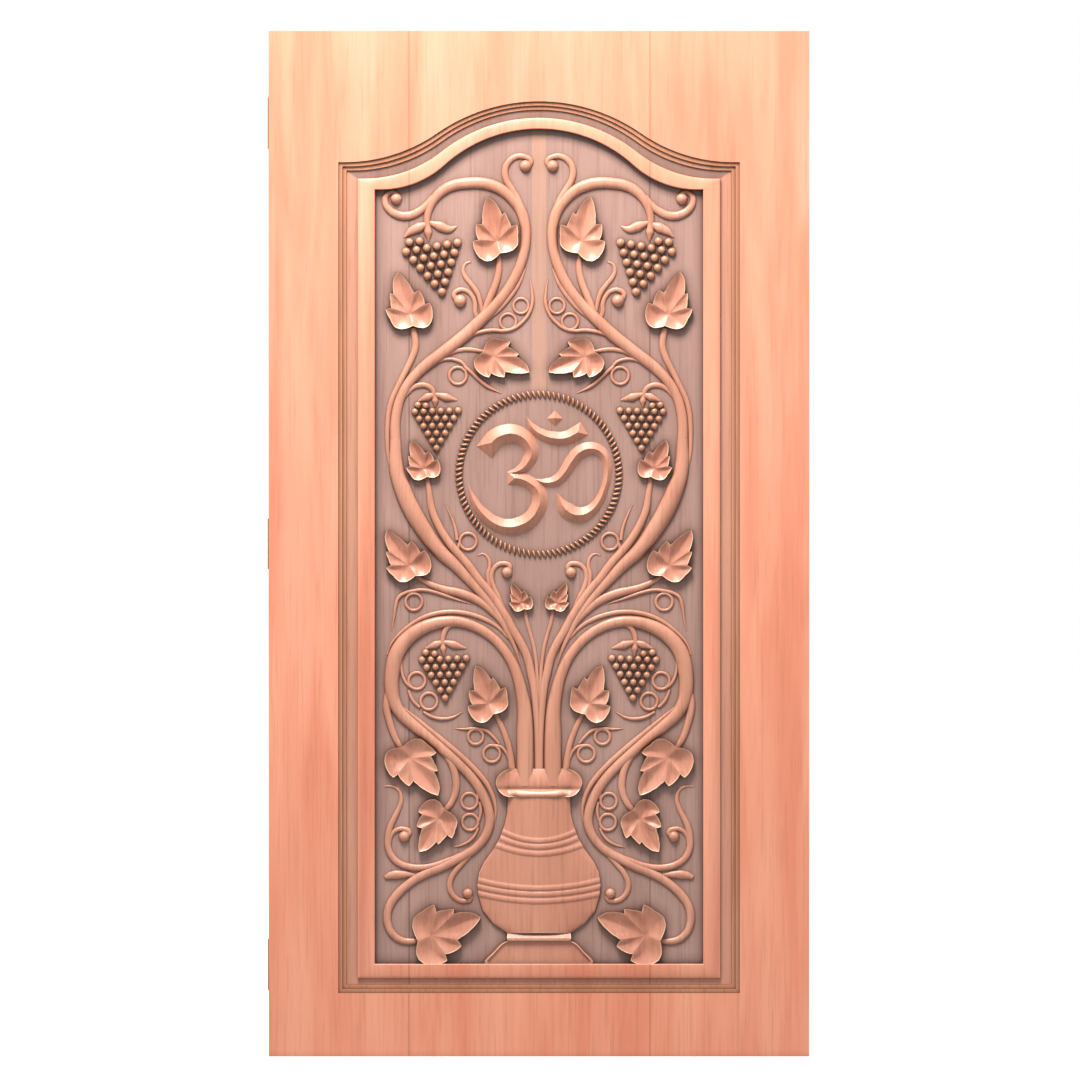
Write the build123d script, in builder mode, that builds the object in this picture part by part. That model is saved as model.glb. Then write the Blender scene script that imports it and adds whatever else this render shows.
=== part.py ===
"""Carved temple door: a framed teak leaf with one carved panel, on three lift-off hinges.

Millimetres, +Z up. The origin is the middle of the leaf's bottom edge. The carved face looks along -Y,
and the hinges are on the edge at -X.
"""
import os

from build123d import *

# Leaf
leaf_width = 1070.0
leaf_height = 2030.0
leaf_thickness = 42.0

# Frame members, each as the flat face that shows
stile_face = 137.5
bottom_rail_face = 125.5
crown_face = 139.0
shoulder_face = 259.5
shoulder_flat = 13.0
step_width = 8.0
first_step_depth = 3.5
second_step_depth = 7.0
tenon_length = 70.0
tenon_thickness = 14.0
tenon_setback = 30.0
top_tenon_height = 170.0
bottom_tenon_height = 80.0
tenon_clearance = 0.1
mortise_end_gap = 2.0
groove_depth = 13.0
groove_width = 12.0

# Carved panel: depths are measured from the front of the leaf
panel_gap = 0.4
panel_slip = 0.15
tongue_end_gap = 1.0
recess_depth = 10.0
band_depth = 2.5
ground_depth = 15.0
panel_back_depth = 8.0
band_margin_side = 38.6
band_margin_top = 32.7
band_margin_bottom = 29.7
field_margin_side = 72.3
field_margin_top = 54.5
field_margin_bottom = 57.5

# Where the arch's crown arc ends, as a share of the way from the crown to the shoulder
frame_crown_share = 0.524
band_crown_share = 0.56
field_crown_share = 0.6

# Relief on the panel
relief_root = 2.0
stations_share = 1.2
leaf_rise = 9.0
leaf_hollow = 5.5
grape_rise = 10.5
grape_top_share = 0.55
grape_sides = 5
knob_rise = 9.5
knob_top_share = 0.5
knob_sides = 6
rope_rise = 5.0
rope_top_share = 0.6
rope_twists = 44
vase_rise = 10.3
vase_edge_rise = 5.0
dot_rise = 8.0

# Hinges
hinge_height = 100.0
hinge_inset = 180.0
plate_thickness = 3.0
plate_gap = 1.0
plate_proud = 1.5
plate_width = 34.0
plate_side_gap = 0.2
gain_end_gap = 1.0
barrel_radius = 6.0
barrel_gap = 0.5
knuckle_gap = 0.3
pin_radius = 3.0
pin_clearance = 0.05
screw_hole_radius = 2.4
screw_hole_spacing = 70.0

overrun = 5.0

# The field as it stands in the photograph, in pixels
field_centre_px = 539.0
field_half_px = 164.5
field_bottom_px = 964.0
field_height_px = 835.5

# Derived places
front = -leaf_thickness / 2
back = leaf_thickness / 2
half_leaf = leaf_width / 2
opening_half = half_leaf - stile_face
shoulder_height = leaf_height - shoulder_face
crown_height = leaf_height - crown_face
frame_margin = 2 * step_width
frame_edge = opening_half - frame_margin
stile_width = stile_face + frame_margin
rail_length = 2 * frame_edge
top_rail_height = shoulder_face + frame_margin
bottom_rail_height = bottom_rail_face + frame_margin
field_half = opening_half - field_margin_side
field_bottom = bottom_rail_face + field_margin_bottom
field_height = crown_height - field_margin_top - field_bottom
ground = front + ground_depth
pixel = min(field_half / field_half_px, field_height / field_height_px)
outward = Vector(0, -1, 0)

os.makedirs("parts", exist_ok=True)


def arched_sketch(side, top, bottom, crown_share, depth):
    """Opening with an ogee arch, inside the frame's face by the three margins, at a depth from the front."""
    half = opening_half - side
    foot = bottom_rail_face + bottom
    shoulder = shoulder_height - top
    crown = crown_height - top
    arch_end = half - shoulder_flat
    turn = (arch_end * crown_share, crown - (crown - shoulder) * crown_share)
    with BuildSketch(Plane.XZ.offset(-front - depth)) as outline:
        with BuildLine():
            Polyline((0, foot), (half, foot), (half, shoulder), (arch_end, shoulder))
            TangentArc((arch_end, shoulder), turn, tangent=(-1, 0))
            TangentArc((0, crown), turn, tangent=(1, 0))
            mirror(about=Plane.YZ)
        make_face()
    return outline.sketch


def frame_outline(margin, depth):
    """The frame's own opening, larger or smaller by one margin all round."""
    return arched_sketch(margin, margin, margin, frame_crown_share, depth)


def cut_opening():
    """Cut the stepped opening and the panel's groove out of the frame member in work."""
    extrude(frame_outline(frame_margin, -overrun), amount=-leaf_thickness - 2 * overrun, mode=Mode.SUBTRACT)
    extrude(frame_outline(step_width, -overrun), amount=-second_step_depth - overrun, mode=Mode.SUBTRACT)
    extrude(frame_outline(0, -overrun), amount=-first_step_depth - overrun, mode=Mode.SUBTRACT)
    groove_front = (leaf_thickness - groove_width) / 2
    extrude(frame_outline(frame_margin - groove_depth, groove_front), amount=-groove_width, mode=Mode.SUBTRACT)


top_tenon_middle = leaf_height - tenon_setback - top_tenon_height / 2
bottom_tenon_middle = tenon_setback + bottom_tenon_height / 2
tenons = [(top_tenon_middle, top_tenon_height), (bottom_tenon_middle, bottom_tenon_height)]

# Hinge places
gain_depth = 2 * plate_thickness + plate_gap - plate_proud
pin_x = -half_leaf + gain_depth - plate_thickness - plate_gap / 2
pin_y = back + barrel_radius + barrel_gap
plate_middle_y = back - plate_width / 2
hinge_heights = [hinge_inset, leaf_height / 2, leaf_height - hinge_inset]
knuckle_height = hinge_height / 2 - knuckle_gap


def cut_mortises(edge_x, inward):
    """Cut both mortises into a stile whose inner edge is at edge_x; inward points at its outer edge."""
    length = tenon_length + mortise_end_gap
    for middle, height in tenons:
        with Locations((edge_x + inward * (length - overrun) / 2, 0, middle)):
            Box(
                length + overrun,
                tenon_thickness + 2 * tenon_clearance,
                height + 2 * tenon_clearance,
                mode=Mode.SUBTRACT,
            )


with BuildPart() as hinge_stile:
    with Locations((-half_leaf + stile_width / 2, 0, leaf_height / 2)):
        Box(stile_width, leaf_thickness, leaf_height)
    cut_opening()
    cut_mortises(-frame_edge, -1)
    for height in hinge_heights:
        gain_x = -half_leaf + (gain_depth - overrun) / 2
        gain_y = plate_middle_y + (overrun - gain_end_gap) / 2
        with Locations((gain_x, gain_y, height)):
            Box(
                gain_depth + overrun,
                plate_width + gain_end_gap + overrun,
                hinge_height + 2 * plate_side_gap,
                mode=Mode.SUBTRACT,
            )
hinge_stile.part.label = "hinge_stile"

with BuildPart() as lock_stile:
    with Locations((half_leaf - stile_width / 2, 0, leaf_height / 2)):
        Box(stile_width, leaf_thickness, leaf_height)
    cut_opening()
    cut_mortises(frame_edge, 1)
lock_stile.part.label = "lock_stile"

with BuildPart() as top_rail:
    with Locations((0, 0, leaf_height - top_rail_height / 2)):
        Box(rail_length, leaf_thickness, top_rail_height)
    cut_opening()
    for side in (-1, 1):
        with Locations((side * (frame_edge + tenon_length / 2), 0, top_tenon_middle)):
            Box(tenon_length, tenon_thickness, top_tenon_height)
top_rail.part.label = "top_rail"

with BuildPart() as bottom_rail:
    with Locations((0, 0, bottom_rail_height / 2)):
        Box(rail_length, leaf_thickness, bottom_rail_height)
    cut_opening()
    for side in (-1, 1):
        with Locations((side * (frame_edge + tenon_length / 2), 0, bottom_tenon_middle)):
            Box(tenon_length, tenon_thickness, bottom_tenon_height)
bottom_rail.part.label = "bottom_rail"


# Vine stems of the left half: points of the photograph, widths from end to end, and the rise as a share
# of the width
stems_px = [
    # main vine, from the vase up round the ring and over to the upper bunch
    (
        [(520, 660), (507, 631), (481.7, 594), (455, 565), (423.9, 530), (402.8, 490), (395, 450), (395, 424)]
        + [(401.5, 395), (418, 372), (441, 353.5), (467, 333), (491, 309.5), (511.5, 283.5), (523.8, 253)]
        + [(525, 225), (513.5, 200), (493, 185.3), (466, 182.8), (443, 190), (429.3, 208), (427, 219)],
        (6, 8, 14, 18, 15, 11, 11, 13, 11, 10, 11, 12, 11, 9),
        0.34,
    ),
    # stalk of the fourth leaf, down beside the main vine to the vase
    (
        [(427, 478), (432, 510), (444, 535.6), (467, 564), (489.4, 592), (506, 616.7), (520.6, 643)]
        + [(528, 672), (531.5, 710), (532.5, 740), (532.5, 768)],
        (5, 8, 9, 9, 9, 8, 8),
        0.5,
    ),
    # outer strand, from the second leaf
    (
        [(413, 328), (415, 345), (407, 368), (396.5, 389), (389, 410), (387.2, 440), (391, 470)],
        (6, 7, 6, 6, 5, 4),
        0.55,
    ),
    # lower scroll: trunk, diagonal and tail
    (
        [(522, 768), (522, 735), (519.5, 694), (510, 661), (489, 635), (461.5, 622.3), (433, 624), (407.5, 638.5)]
        + [(394, 661.5), (391.5, 688), (401, 714), (427, 736.5), (452, 758), (472.5, 779), (485.5, 801.5)]
        + [(489.5, 824), (478, 845.8), (455, 861), (428, 873), (405, 887), (389.5, 906), (388, 926), (399.5, 940)]
        + [(417, 942)],
        (17, 18, 14, 11, 10, 11, 14, 16, 15, 12, 11, 10, 10, 9, 9, 9, 9, 8, 6),
        0.35,
    ),
    # stalks of the leaves
    ([(483, 318), (492, 293), (498.5, 272), (498, 255)], (6, 8, 7, 5), 0.55),
    ([(440, 358), (459.5, 349.8), (481, 351)], (5, 5, 4), 0.55),
    ([(415.5, 575), (434, 586), (459.5, 593), (482, 603), (503, 624)], (4, 8, 9, 8, 5), 0.55),
    ([(524.5, 609), (530.5, 634.5), (536, 660), (538, 682)], (4, 4, 5), 0.55),
    ([(494.5, 714), (506, 738), (513, 764)], (5, 7, 7), 0.55),
    ([(391, 694), (387, 708), (391, 728), (400, 748.5)], (8, 8, 7, 6), 0.55),
    ([(440, 745), (453.8, 770), (455.5, 792), (446, 809.5)], (5, 8, 8, 6), 0.55),
    # stalks of the middle and lower bunch
    ([(404, 394), (419.5, 385), (430, 387), (434.3, 398)], (5, 6, 5), 0.6),
    ([(469.5, 624), (452, 624.5), (444, 633), (442, 644)], (5, 6, 5), 0.6),
    # volutes and hooks
    (
        [(520, 205), (511.5, 189), (505, 172), (509, 161), (517, 156), (525, 156.5), (530.5, 161)],
        (7, 8, 7, 6, 4),
        0.55,
    ),
    (
        [(433, 198), (418, 211.5), (402, 214.5), (388.5, 206), (385.5, 195), (391.5, 188.3)],
        (6, 9, 8, 6, 4),
        0.55,
    ),
    ([(479, 320), (475.5, 306), (467, 291), (457, 291.5), (453.5, 298)], (5, 6, 5, 4), 0.6),
    ([(505, 608), (492.8, 585), (493, 570), (502.5, 564), (510, 567)], (6, 5, 4), 0.6),
    ([(492, 592), (488, 574), (488.5, 561), (477.5, 555.5)], (5, 4, 3), 0.6),
    (
        [(470, 850), (447, 861.3), (422.8, 868), (399.5, 863.8), (388.5, 850), (389.8, 828), (399, 808)]
        + [(400, 794), (384, 786.7)],
        (5, 7, 7, 7, 6, 5, 2),
        0.6,
    ),
    ([(388.5, 847), (391, 836), (399, 830.5), (408, 833)], (5, 5, 4), 0.6),
    ([(470, 853), (453.5, 874), (450, 888), (457, 899), (470, 899.5)], (5, 6, 6, 4), 0.6),
]

# Knobs at the eyes of the volutes: place and radius
knobs_px = [
    (525.5, 165.5, 6.5),
    (395.5, 194.5, 6.5),
    (460, 300.5, 7),
    (507, 572.5, 6),
    (404, 836.8, 6),
    (467.8, 894, 5.5),
]

# Vine leaves of the left half: base and tip, and which way round the leaf lies
leaves_px = [
    ((500, 253), (486.7, 197), -1),
    ((413, 325.6), (397.8, 271.7), 1),
    ((482.8, 352), (529.4, 372), 1),
    ((427, 476.7), (412, 440), 1),
    ((415.6, 575.6), (386.7, 530), 1),
    ((493, 714.4), (475.6, 665.6), -1),
    ((524, 609), (512, 582.8), 1),
    ((401.7, 747.8), (438, 795.6), 1),
    ((444.4, 810), (418.9, 851.7), 1),
    ((417.8, 941), (480.6, 917.8), 1),
]

# The leaf's outline, along its midrib and across it, as shares of its length from base to tip
leaf_outline_shares = [
    (0.0, 0.0),
    (-0.004, -0.21),
    (0.1, -0.33),
    (0.415, -0.385),
    (0.405, -0.28),
    (0.668, -0.23),
    (0.635, -0.177),
    (1.0, 0.0),
    (0.556, 0.171),
    (0.584, 0.272),
    (0.31, 0.297),
    (0.31, 0.39),
    (0.177, 0.40),
    (-0.03, 0.32),
    (-0.088, 0.157),
]
leaf_heart_share = 0.2

# Grape bunches: lowest grape, step along a row, step to the next row, radius and rows of one more each
bunches_px = [
    ((441.7, 291.5), (10.2, -1.8), (-7.1, -8.0), 4.8),
    ((436.4, 448.0), (8.6, -0.2), (-4.3, -7.3), 4.1),
    ((445.0, 698.0), (8.8, -0.3), (-4.6, -7.6), 4.2),
]
bunch_rows = 6

# Rope ring round the sign
rope_centre_px = (539.0, 474.0)
rope_radius_px = 80.0
rope_width_px = 8.5
rope_strand_px = 5.0
rope_slant = 28.0

# Strokes of the sign, with their widths, and its pyramid dot
om_strokes_px = [
    (
        [(483, 451), (498, 436.5), (511.5, 433.5), (525, 439.5), (531.5, 453), (527, 463.5), (513, 472)],
        (21, 18, 17, 16, 14, 12, 8),
    ),
    (
        [(507, 478), (524, 480), (537, 489.5), (540, 501), (532, 517), (514, 526.5), (496, 524), (479, 509)]
        + [(467, 484)],
        (13, 14, 16, 17, 17, 16, 13, 9, 1),
    ),
    (
        [(534, 479), (551, 482), (566, 471), (578, 453.5), (592, 448.5), (604, 456), (607.5, 474), (602, 495)]
        + [(589, 512), (573, 513.5), (558, 495)],
        (1, 8, 12, 14, 13, 10, 9, 10, 15, 16, 1),
    ),
    ([(527, 418.5), (538, 431.5), (553, 438), (569, 437), (584, 428.5)], (1, 9, 13, 14, 15)),
]
om_rise_share = 0.3
om_dot_px = [(545.5, 418), (555, 409), (564.5, 418), (555, 427.5)]
om_dot_peak_px = (555, 418)

# Vase: half outlines and the ends and sags of its ridges
vase_belly_px = [(507.8, 798), (507.2, 813.5), (504.4, 825.7), (499.8, 838), (493, 850), (483.8, 862.5)]
vase_belly_px += [(478.9, 873), (477.3, 885.4), (478.4, 896), (483, 911.4), (493, 923.7), (506.7, 933)]
vase_neck_px = 792.0
vase_lip_px = [(508, 769), (500, 773), (495.3, 781), (499, 789), (510, 795.5)]
vase_roll_px = [(506, 792), (522, 794), (539, 794.5), (556, 794), (572, 792)]
vase_roll_widths_px = (4, 6, 6, 6, 4)
vase_roll_rise_share = 0.28
vase_ridges_px = [
    (502.9, 831.8, 841.0),
    (499.8, 838.0, 847.0),
    (496.8, 845.6, 854.0),
    (479.2, 880.8, 888.5),
    (477.7, 887.0, 894.6),
    (477.3, 893.8, 901.5),
]
vase_ridge_width_px = 5.0
vase_ridge_rise_share = 0.2
vase_facet_shares = (-1.0, -0.5, 0.0, 0.5, 1.0)
vase_collar_px = [(507.5, 933), (507.5, 941)]
vase_foot_px = [(509.8, 941), (500.6, 944.5), (493, 952.8), (485.3, 960.4), (485.3, 964)]
vase_collar_rise = 12.0
vase_foot_rise = 9.0
vase_lip_rise = 9.0
stem_centre_px = [(539, 676), (539, 720), (539, 768)]
stem_centre_width_px = 8.0
stem_centre_rise_share = 0.55


def flat_point(place_px):
    """Place of a photograph pixel on the panel, across and up."""
    x_px, y_px = place_px
    across = (x_px - field_centre_px) / field_half_px * field_half
    up = field_bottom + (field_bottom_px - y_px) / field_height_px * field_height
    return across, up


def raised_point(place_px, rise):
    """Place of a photograph pixel at a rise above the sunk ground."""
    across, up = flat_point(place_px)
    return Vector(across, ground - rise, up)


def ground_plane(rise):
    """Plane parallel to the sunk ground, with its normal towards the viewer."""
    return Plane.XZ.offset(-ground + rise)


def along(values, share):
    """Value at a share of the way through a list of evenly spaced values."""
    place = share * (len(values) - 1)
    before = min(int(place), len(values) - 2)
    return values[before] + (values[before + 1] - values[before]) * (place - before)


def ridge(points, widths_px, rise_share):
    """Ridge carved in flat facets along a curve, its rise a share of its widths from end to end."""
    with BuildLine() as path:
        Spline(*points)
    stations = round(stations_share * len(points))
    sections = []
    for station in range(stations):
        share = station / (stations - 1)
        place = path.line @ share
        width = along(widths_px, share) * pixel
        foot = outward.cross(path.line % share) * width / 2
        root = outward * relief_root
        top = place + outward * width * rise_share
        sections.append((place - foot - root, place + foot - root, place + foot, top, place - foot))
    facets = [Face(Wire.make_polygon(sections[0])), Face(Wire.make_polygon(sections[-1]))]
    for before, after in zip(sections, sections[1:]):
        for corner in range(len(before)):
            facets.append(Face(Wire.make_polygon((before[corner - 1], before[corner], after[corner]))))
            facets.append(Face(Wire.make_polygon((before[corner - 1], after[corner], after[corner - 1]))))
    return Solid(Shell(facets))


def ground_ridge(points_px, widths_px, rise_share):
    """Carved ridge along photograph points on the sunk ground."""
    return ridge([raised_point(place, 0) for place in points_px], widths_px, rise_share)


def dot():
    """Pyramid dot of the sign."""
    outline = [flat_point(place) for place in om_dot_px]
    with BuildPart() as pyramid:
        with BuildSketch(ground_plane(-relief_root)) as foot:
            with BuildLine():
                Polyline(*outline, close=True)
            make_face()
        peak = raised_point(om_dot_peak_px, dot_rise)
        loft([foot.sketch.face(), Vertex(peak.X, peak.Y, peak.Z)])
    return pyramid.part


def vine_leaf(base_px, tip_px, hand):
    """Cupped leaf with a raised rim, from its base to its tip."""
    base = Vector(*flat_point(base_px))
    rib = Vector(*flat_point(tip_px)) - base
    side = Vector(rib.Y, -rib.X) * hand
    outline = [base + rib * share + side * across for share, across in leaf_outline_shares]
    heart = base + rib * leaf_heart_share
    with BuildPart() as blade:
        with BuildSketch(ground_plane(-relief_root)):
            with BuildLine():
                Polyline(*outline, close=True)
            make_face()
        extrude(amount=relief_root + leaf_rise)
        rim = blade.faces().sort_by(Axis.Y)[0]
        bottom = Vertex(heart.X, ground - leaf_rise + leaf_hollow, heart.Y)
        loft([rim, bottom], mode=Mode.SUBTRACT)
    return blade.part


def studs(outlines, rise, top_share):
    """Raised studs over faces that lie below the ground, each smaller at its flat top."""
    solids = []
    for outline in outlines:
        low = [edge @ 0 for edge in outline.outer_wire().order_edges()]
        middle = outline.center()
        high = [middle + (corner - middle) * top_share + outward * (relief_root + rise) for corner in low]
        facets = [Face(Wire.make_polygon(low)), Face(Wire.make_polygon(high))]
        for side in range(len(low)):
            facets.append(Face(Wire.make_polygon((low[side - 1], low[side], high[side], high[side - 1]))))
        solids.append(Solid(Shell(facets)))
    return solids


def grape_bunch(low_px, row_px, rise_px, radius_px):
    """Triangular bunch of faceted grapes."""
    places = []
    for row in range(bunch_rows):
        for berry in range(row + 1):
            x_px = low_px[0] + row * rise_px[0] + berry * row_px[0]
            y_px = low_px[1] + row * rise_px[1] + berry * row_px[1]
            places.append(flat_point((x_px, y_px)))
    with BuildSketch(ground_plane(-relief_root)) as berries:
        with Locations(*places):
            RegularPolygon(radius_px * pixel, grape_sides)
    return studs(berries.sketch.faces(), grape_rise, grape_top_share)


def knob(x_px, y_px, radius_px):
    """Round eye of a volute."""
    with BuildSketch(ground_plane(-relief_root)) as eye:
        with Locations(flat_point((x_px, y_px))):
            RegularPolygon(radius_px * pixel, knob_sides)
    return studs(eye.sketch.faces(), knob_rise, knob_top_share)


def ring_of_rope():
    """Ring of slanted strands round the sign."""
    with BuildSketch(ground_plane(-relief_root)) as strands:
        with Locations(flat_point(rope_centre_px)):
            with PolarLocations(rope_radius_px * pixel, rope_twists):
                Rectangle(rope_width_px * pixel, rope_strand_px * pixel, rotation=rope_slant)
    return studs(strands.sketch.faces(), rope_rise, rope_top_share)


def mirrored_plate(points_px, rise):
    """Flat raised shape, from its left outline to the mirrored right one."""
    left = [flat_point(place) for place in points_px]
    right = [(-across, up) for across, up in reversed(left)]
    with BuildPart() as plate:
        with BuildSketch(ground_plane(-relief_root)):
            with BuildLine():
                Polyline(*left, *right, close=True)
            make_face()
        extrude(amount=relief_root + rise)
    return plate.part


belly_half = -flat_point((vase_ridges_px[-1][0], vase_ridges_px[-1][1]))[0]
belly_drop = vase_rise - vase_edge_rise
belly_radius = (belly_half**2 + belly_drop**2) / (2 * belly_drop)


def belly_rise_at(across):
    """Rise of the vase's rounded front at a distance from its middle."""
    return vase_rise - belly_radius + (belly_radius**2 - across**2) ** 0.5


def vase_belly():
    """Body of the vase, with a front in upright facets that is round from side to side."""
    neck_top = (vase_belly_px[0][0], vase_neck_px)
    silhouette = mirrored_plate([neck_top] + vase_belly_px, vase_rise + overrun)
    with BuildPart() as belly:
        add(silhouette)
        front_line = []
        for share in vase_facet_shares:
            across = share * (belly_half + overrun)
            front_line.append((across, ground - belly_rise_at(across)))
        with BuildSketch(Plane.XY):
            with BuildLine():
                Polyline(*front_line, (front_line[-1][0], back), (front_line[0][0], back), close=True)
            make_face()
        extrude(amount=leaf_height, mode=Mode.INTERSECT)
    return belly.part


def vase_ridge(end_x_px, end_y_px, middle_y_px):
    """Raised hoop across the vase, sagging in the middle."""
    points = []
    for share in vase_facet_shares:
        x_px = field_centre_px + share * (field_centre_px - end_x_px)
        y_px = middle_y_px + share**2 * (end_y_px - middle_y_px)
        across = flat_point((x_px, y_px))[0]
        points.append(raised_point((x_px, y_px), belly_rise_at(across)))
    return ridge(points, (vase_ridge_width_px, vase_ridge_width_px), vase_ridge_rise_share)


# Relief of the left half
half_relief = [ground_ridge(*stem_px) for stem_px in stems_px]
half_relief += [vine_leaf(*leaf_px) for leaf_px in leaves_px]
for bunch_px in bunches_px:
    half_relief += grape_bunch(*bunch_px)
for knob_px in knobs_px:
    half_relief += knob(*knob_px)

# Relief on the middle line
middle_relief = ring_of_rope() + [dot(), vase_belly()]
middle_relief.append(mirrored_plate(vase_lip_px, vase_lip_rise))
middle_relief.append(mirrored_plate(vase_collar_px, vase_collar_rise))
middle_relief.append(mirrored_plate(vase_foot_px, vase_foot_rise))
middle_relief += [vase_ridge(*ridge_px) for ridge_px in vase_ridges_px]
roll_points = [raised_point(place, vase_lip_rise) for place in vase_roll_px]
middle_relief.append(ridge(roll_points, vase_roll_widths_px, vase_roll_rise_share))
middle_relief += [ground_ridge(*stroke_px, om_rise_share) for stroke_px in om_strokes_px]
centre_widths_px = (stem_centre_width_px, stem_centre_width_px)
middle_relief.append(ground_ridge(stem_centre_px, centre_widths_px, stem_centre_rise_share))

with BuildPart() as carved_panel:
    body_depth = leaf_thickness - panel_back_depth
    extrude(frame_outline(frame_margin + panel_gap, recess_depth), amount=recess_depth - body_depth)
    tongue_front = (leaf_thickness - groove_width) / 2 + panel_slip
    tongue_margin = frame_margin - groove_depth + tongue_end_gap
    extrude(frame_outline(tongue_margin, tongue_front), amount=2 * panel_slip - groove_width)
    extrude(
        arched_sketch(band_margin_side, band_margin_top, band_margin_bottom, band_crown_share, band_depth),
        amount=band_depth - recess_depth - panel_slip,
    )
    extrude(
        arched_sketch(field_margin_side, field_margin_top, field_margin_bottom, field_crown_share, -overrun),
        amount=-ground_depth - overrun,
        mode=Mode.SUBTRACT,
    )
    add(half_relief + [piece.mirror(Plane.YZ) for piece in half_relief] + middle_relief, clean=False)
carved_panel.part.label = "carved_panel"


def hinge_plate(side, height):
    """Plate of a lift-off hinge with its knuckle; side is 1 on the leaf, above, and -1 on the jamb, below."""
    plate_x = pin_x + side * (plate_gap + plate_thickness) / 2
    strap_length = pin_y - back
    knuckle_middle = height + side * hinge_height / 4
    with BuildPart() as plate:
        with Locations((plate_x, plate_middle_y, height)):
            Box(plate_thickness, plate_width, hinge_height)
        with Locations((plate_x, back + strap_length / 2, knuckle_middle)):
            Box(plate_thickness, strap_length, knuckle_height)
        with Locations((pin_x, pin_y, knuckle_middle)):
            Cylinder(barrel_radius, knuckle_height)
        if side > 0:
            with Locations((pin_x, pin_y, height)):
                Cylinder(pin_radius + pin_clearance, hinge_height + overrun, mode=Mode.SUBTRACT)
        else:
            with Locations((pin_x, pin_y, height)):
                Cylinder(pin_radius, hinge_height)
            for end in (-1, 1):
                hole_z = height + end * screw_hole_spacing / 2
                with Locations(Plane((plate_x, plate_middle_y, hole_z), z_dir=(1, 0, 0))):
                    Cylinder(screw_hole_radius, plate_thickness + overrun, mode=Mode.SUBTRACT)
    return plate.part


hinge_plates = []
for level, height in zip(("lower", "middle", "upper"), hinge_heights):
    for side, bearer in ((1, "leaf"), (-1, "jamb")):
        plate = hinge_plate(side, height)
        plate.label = f"{level}_hinge_{bearer}_plate"
        hinge_plates.append(plate)

pieces = [hinge_stile.part, lock_stile.part, top_rail.part, bottom_rail.part, carved_panel.part]
for piece in pieces + hinge_plates:
    export_step(piece, f"parts/{piece.label}.step")
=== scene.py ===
"""Dress the carved temple door: teak frame, carved panel in full relief, and brass hinges.

Metres, +Z up, carved face towards -Y. Ornament is placed by pixels of the photograph, which one map
turns into places on the panel's sunk ground. The left half is mirrored about the panel's middle line.
"""
from __future__ import annotations

import logging
import math
from dataclasses import dataclass
from enum import Enum, IntEnum
from typing import Any, Callable, Sequence

import bmesh
import bpy
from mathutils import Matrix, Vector


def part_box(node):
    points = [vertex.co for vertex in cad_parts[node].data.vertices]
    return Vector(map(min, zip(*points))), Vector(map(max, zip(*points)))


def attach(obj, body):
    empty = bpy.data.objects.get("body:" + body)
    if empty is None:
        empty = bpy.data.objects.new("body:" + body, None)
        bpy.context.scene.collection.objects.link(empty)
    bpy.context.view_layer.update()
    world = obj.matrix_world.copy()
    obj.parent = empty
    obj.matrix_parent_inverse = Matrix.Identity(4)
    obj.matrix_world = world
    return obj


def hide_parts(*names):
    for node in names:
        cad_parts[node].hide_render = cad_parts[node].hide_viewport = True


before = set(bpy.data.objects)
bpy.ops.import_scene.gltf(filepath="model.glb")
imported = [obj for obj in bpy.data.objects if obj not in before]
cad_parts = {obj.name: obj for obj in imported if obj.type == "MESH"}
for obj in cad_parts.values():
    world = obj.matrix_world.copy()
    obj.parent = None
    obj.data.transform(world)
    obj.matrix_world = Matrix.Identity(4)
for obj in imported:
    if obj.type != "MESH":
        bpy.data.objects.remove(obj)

log = logging.getLogger("temple_door")

Place = tuple[float, float]
Place3 = tuple[float, float, float]
Path = Sequence[Place]
Span = tuple[float, float]
Bell = tuple[float, float, float]

MM = 0.001
CENTRE_PX = 539.0
LEAF_FOOT_PX = 1056.5
LEAF_HEIGHT_PX = 1025.5
PHOTO_MIDDLE_PX = 540.0
PHOTO_SIDE_PX = 1080.0
GROUND_DEPTH = 15 * MM
ROOT_DEPTH = 1.5 * MM
RING_POINTS = 8
LINE_STEPS = 6
OCCLUSION_SAMPLES = 8
WHITE = (1, 1, 1, 1)


def linear(hex_colour: str) -> tuple[float, float, float, float]:
    """Turn an sRGB hex colour into linear values.

    Args:
        hex_colour: six hex digits, such as "c08050".

    Returns:
        Linear red, green, blue and an alpha of 1.
    """
    values = []
    for start in (0, 2, 4):
        share = int(hex_colour[start:start + 2], 16) / 255
        values.append(share / 12.92 if share <= 0.04045 else ((share + 0.055) / 1.055) ** 2.4)
    return values[0], values[1], values[2], 1.0


def plug(tree: Any, node: Any, inputs: dict) -> None:
    """Set a node's inputs, each to a value or to the output socket that feeds it."""
    for socket, value in inputs.items():
        if isinstance(value, bpy.types.NodeSocket):
            tree.links.new(value, node.inputs[socket])
        else:
            node.inputs[socket].default_value = value


def add_node(tree: Any, kind: str, inputs: dict | None = None, **settings: Any) -> Any:
    """Add one node to a tree, with its settings and inputs.

    Args:
        tree: the node tree.
        kind: the node's type name.
        inputs: input name or index to its value, or to the output socket that feeds it.
        settings: the node's own properties.

    Returns:
        The new node.
    """
    node = tree.nodes.new(kind)
    for name, value in settings.items():
        setattr(node, name, value)
    plug(tree, node, inputs or {})
    return node


def reckon(tree: Any, operation: str, *terms: Any) -> Any:
    """Add a math node on numbers and sockets, and give its result."""
    return add_node(tree, "ShaderNodeMath", dict(enumerate(terms)), operation=operation).outputs[0]


def mix(tree: Any, share: Any, first: Any, second: Any) -> Any:
    """Mix two colours by a share, and give the new one."""
    return add_node(tree, "ShaderNodeMix", {0: share, 6: first, 7: second}, data_type="RGBA").outputs[2]


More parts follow.
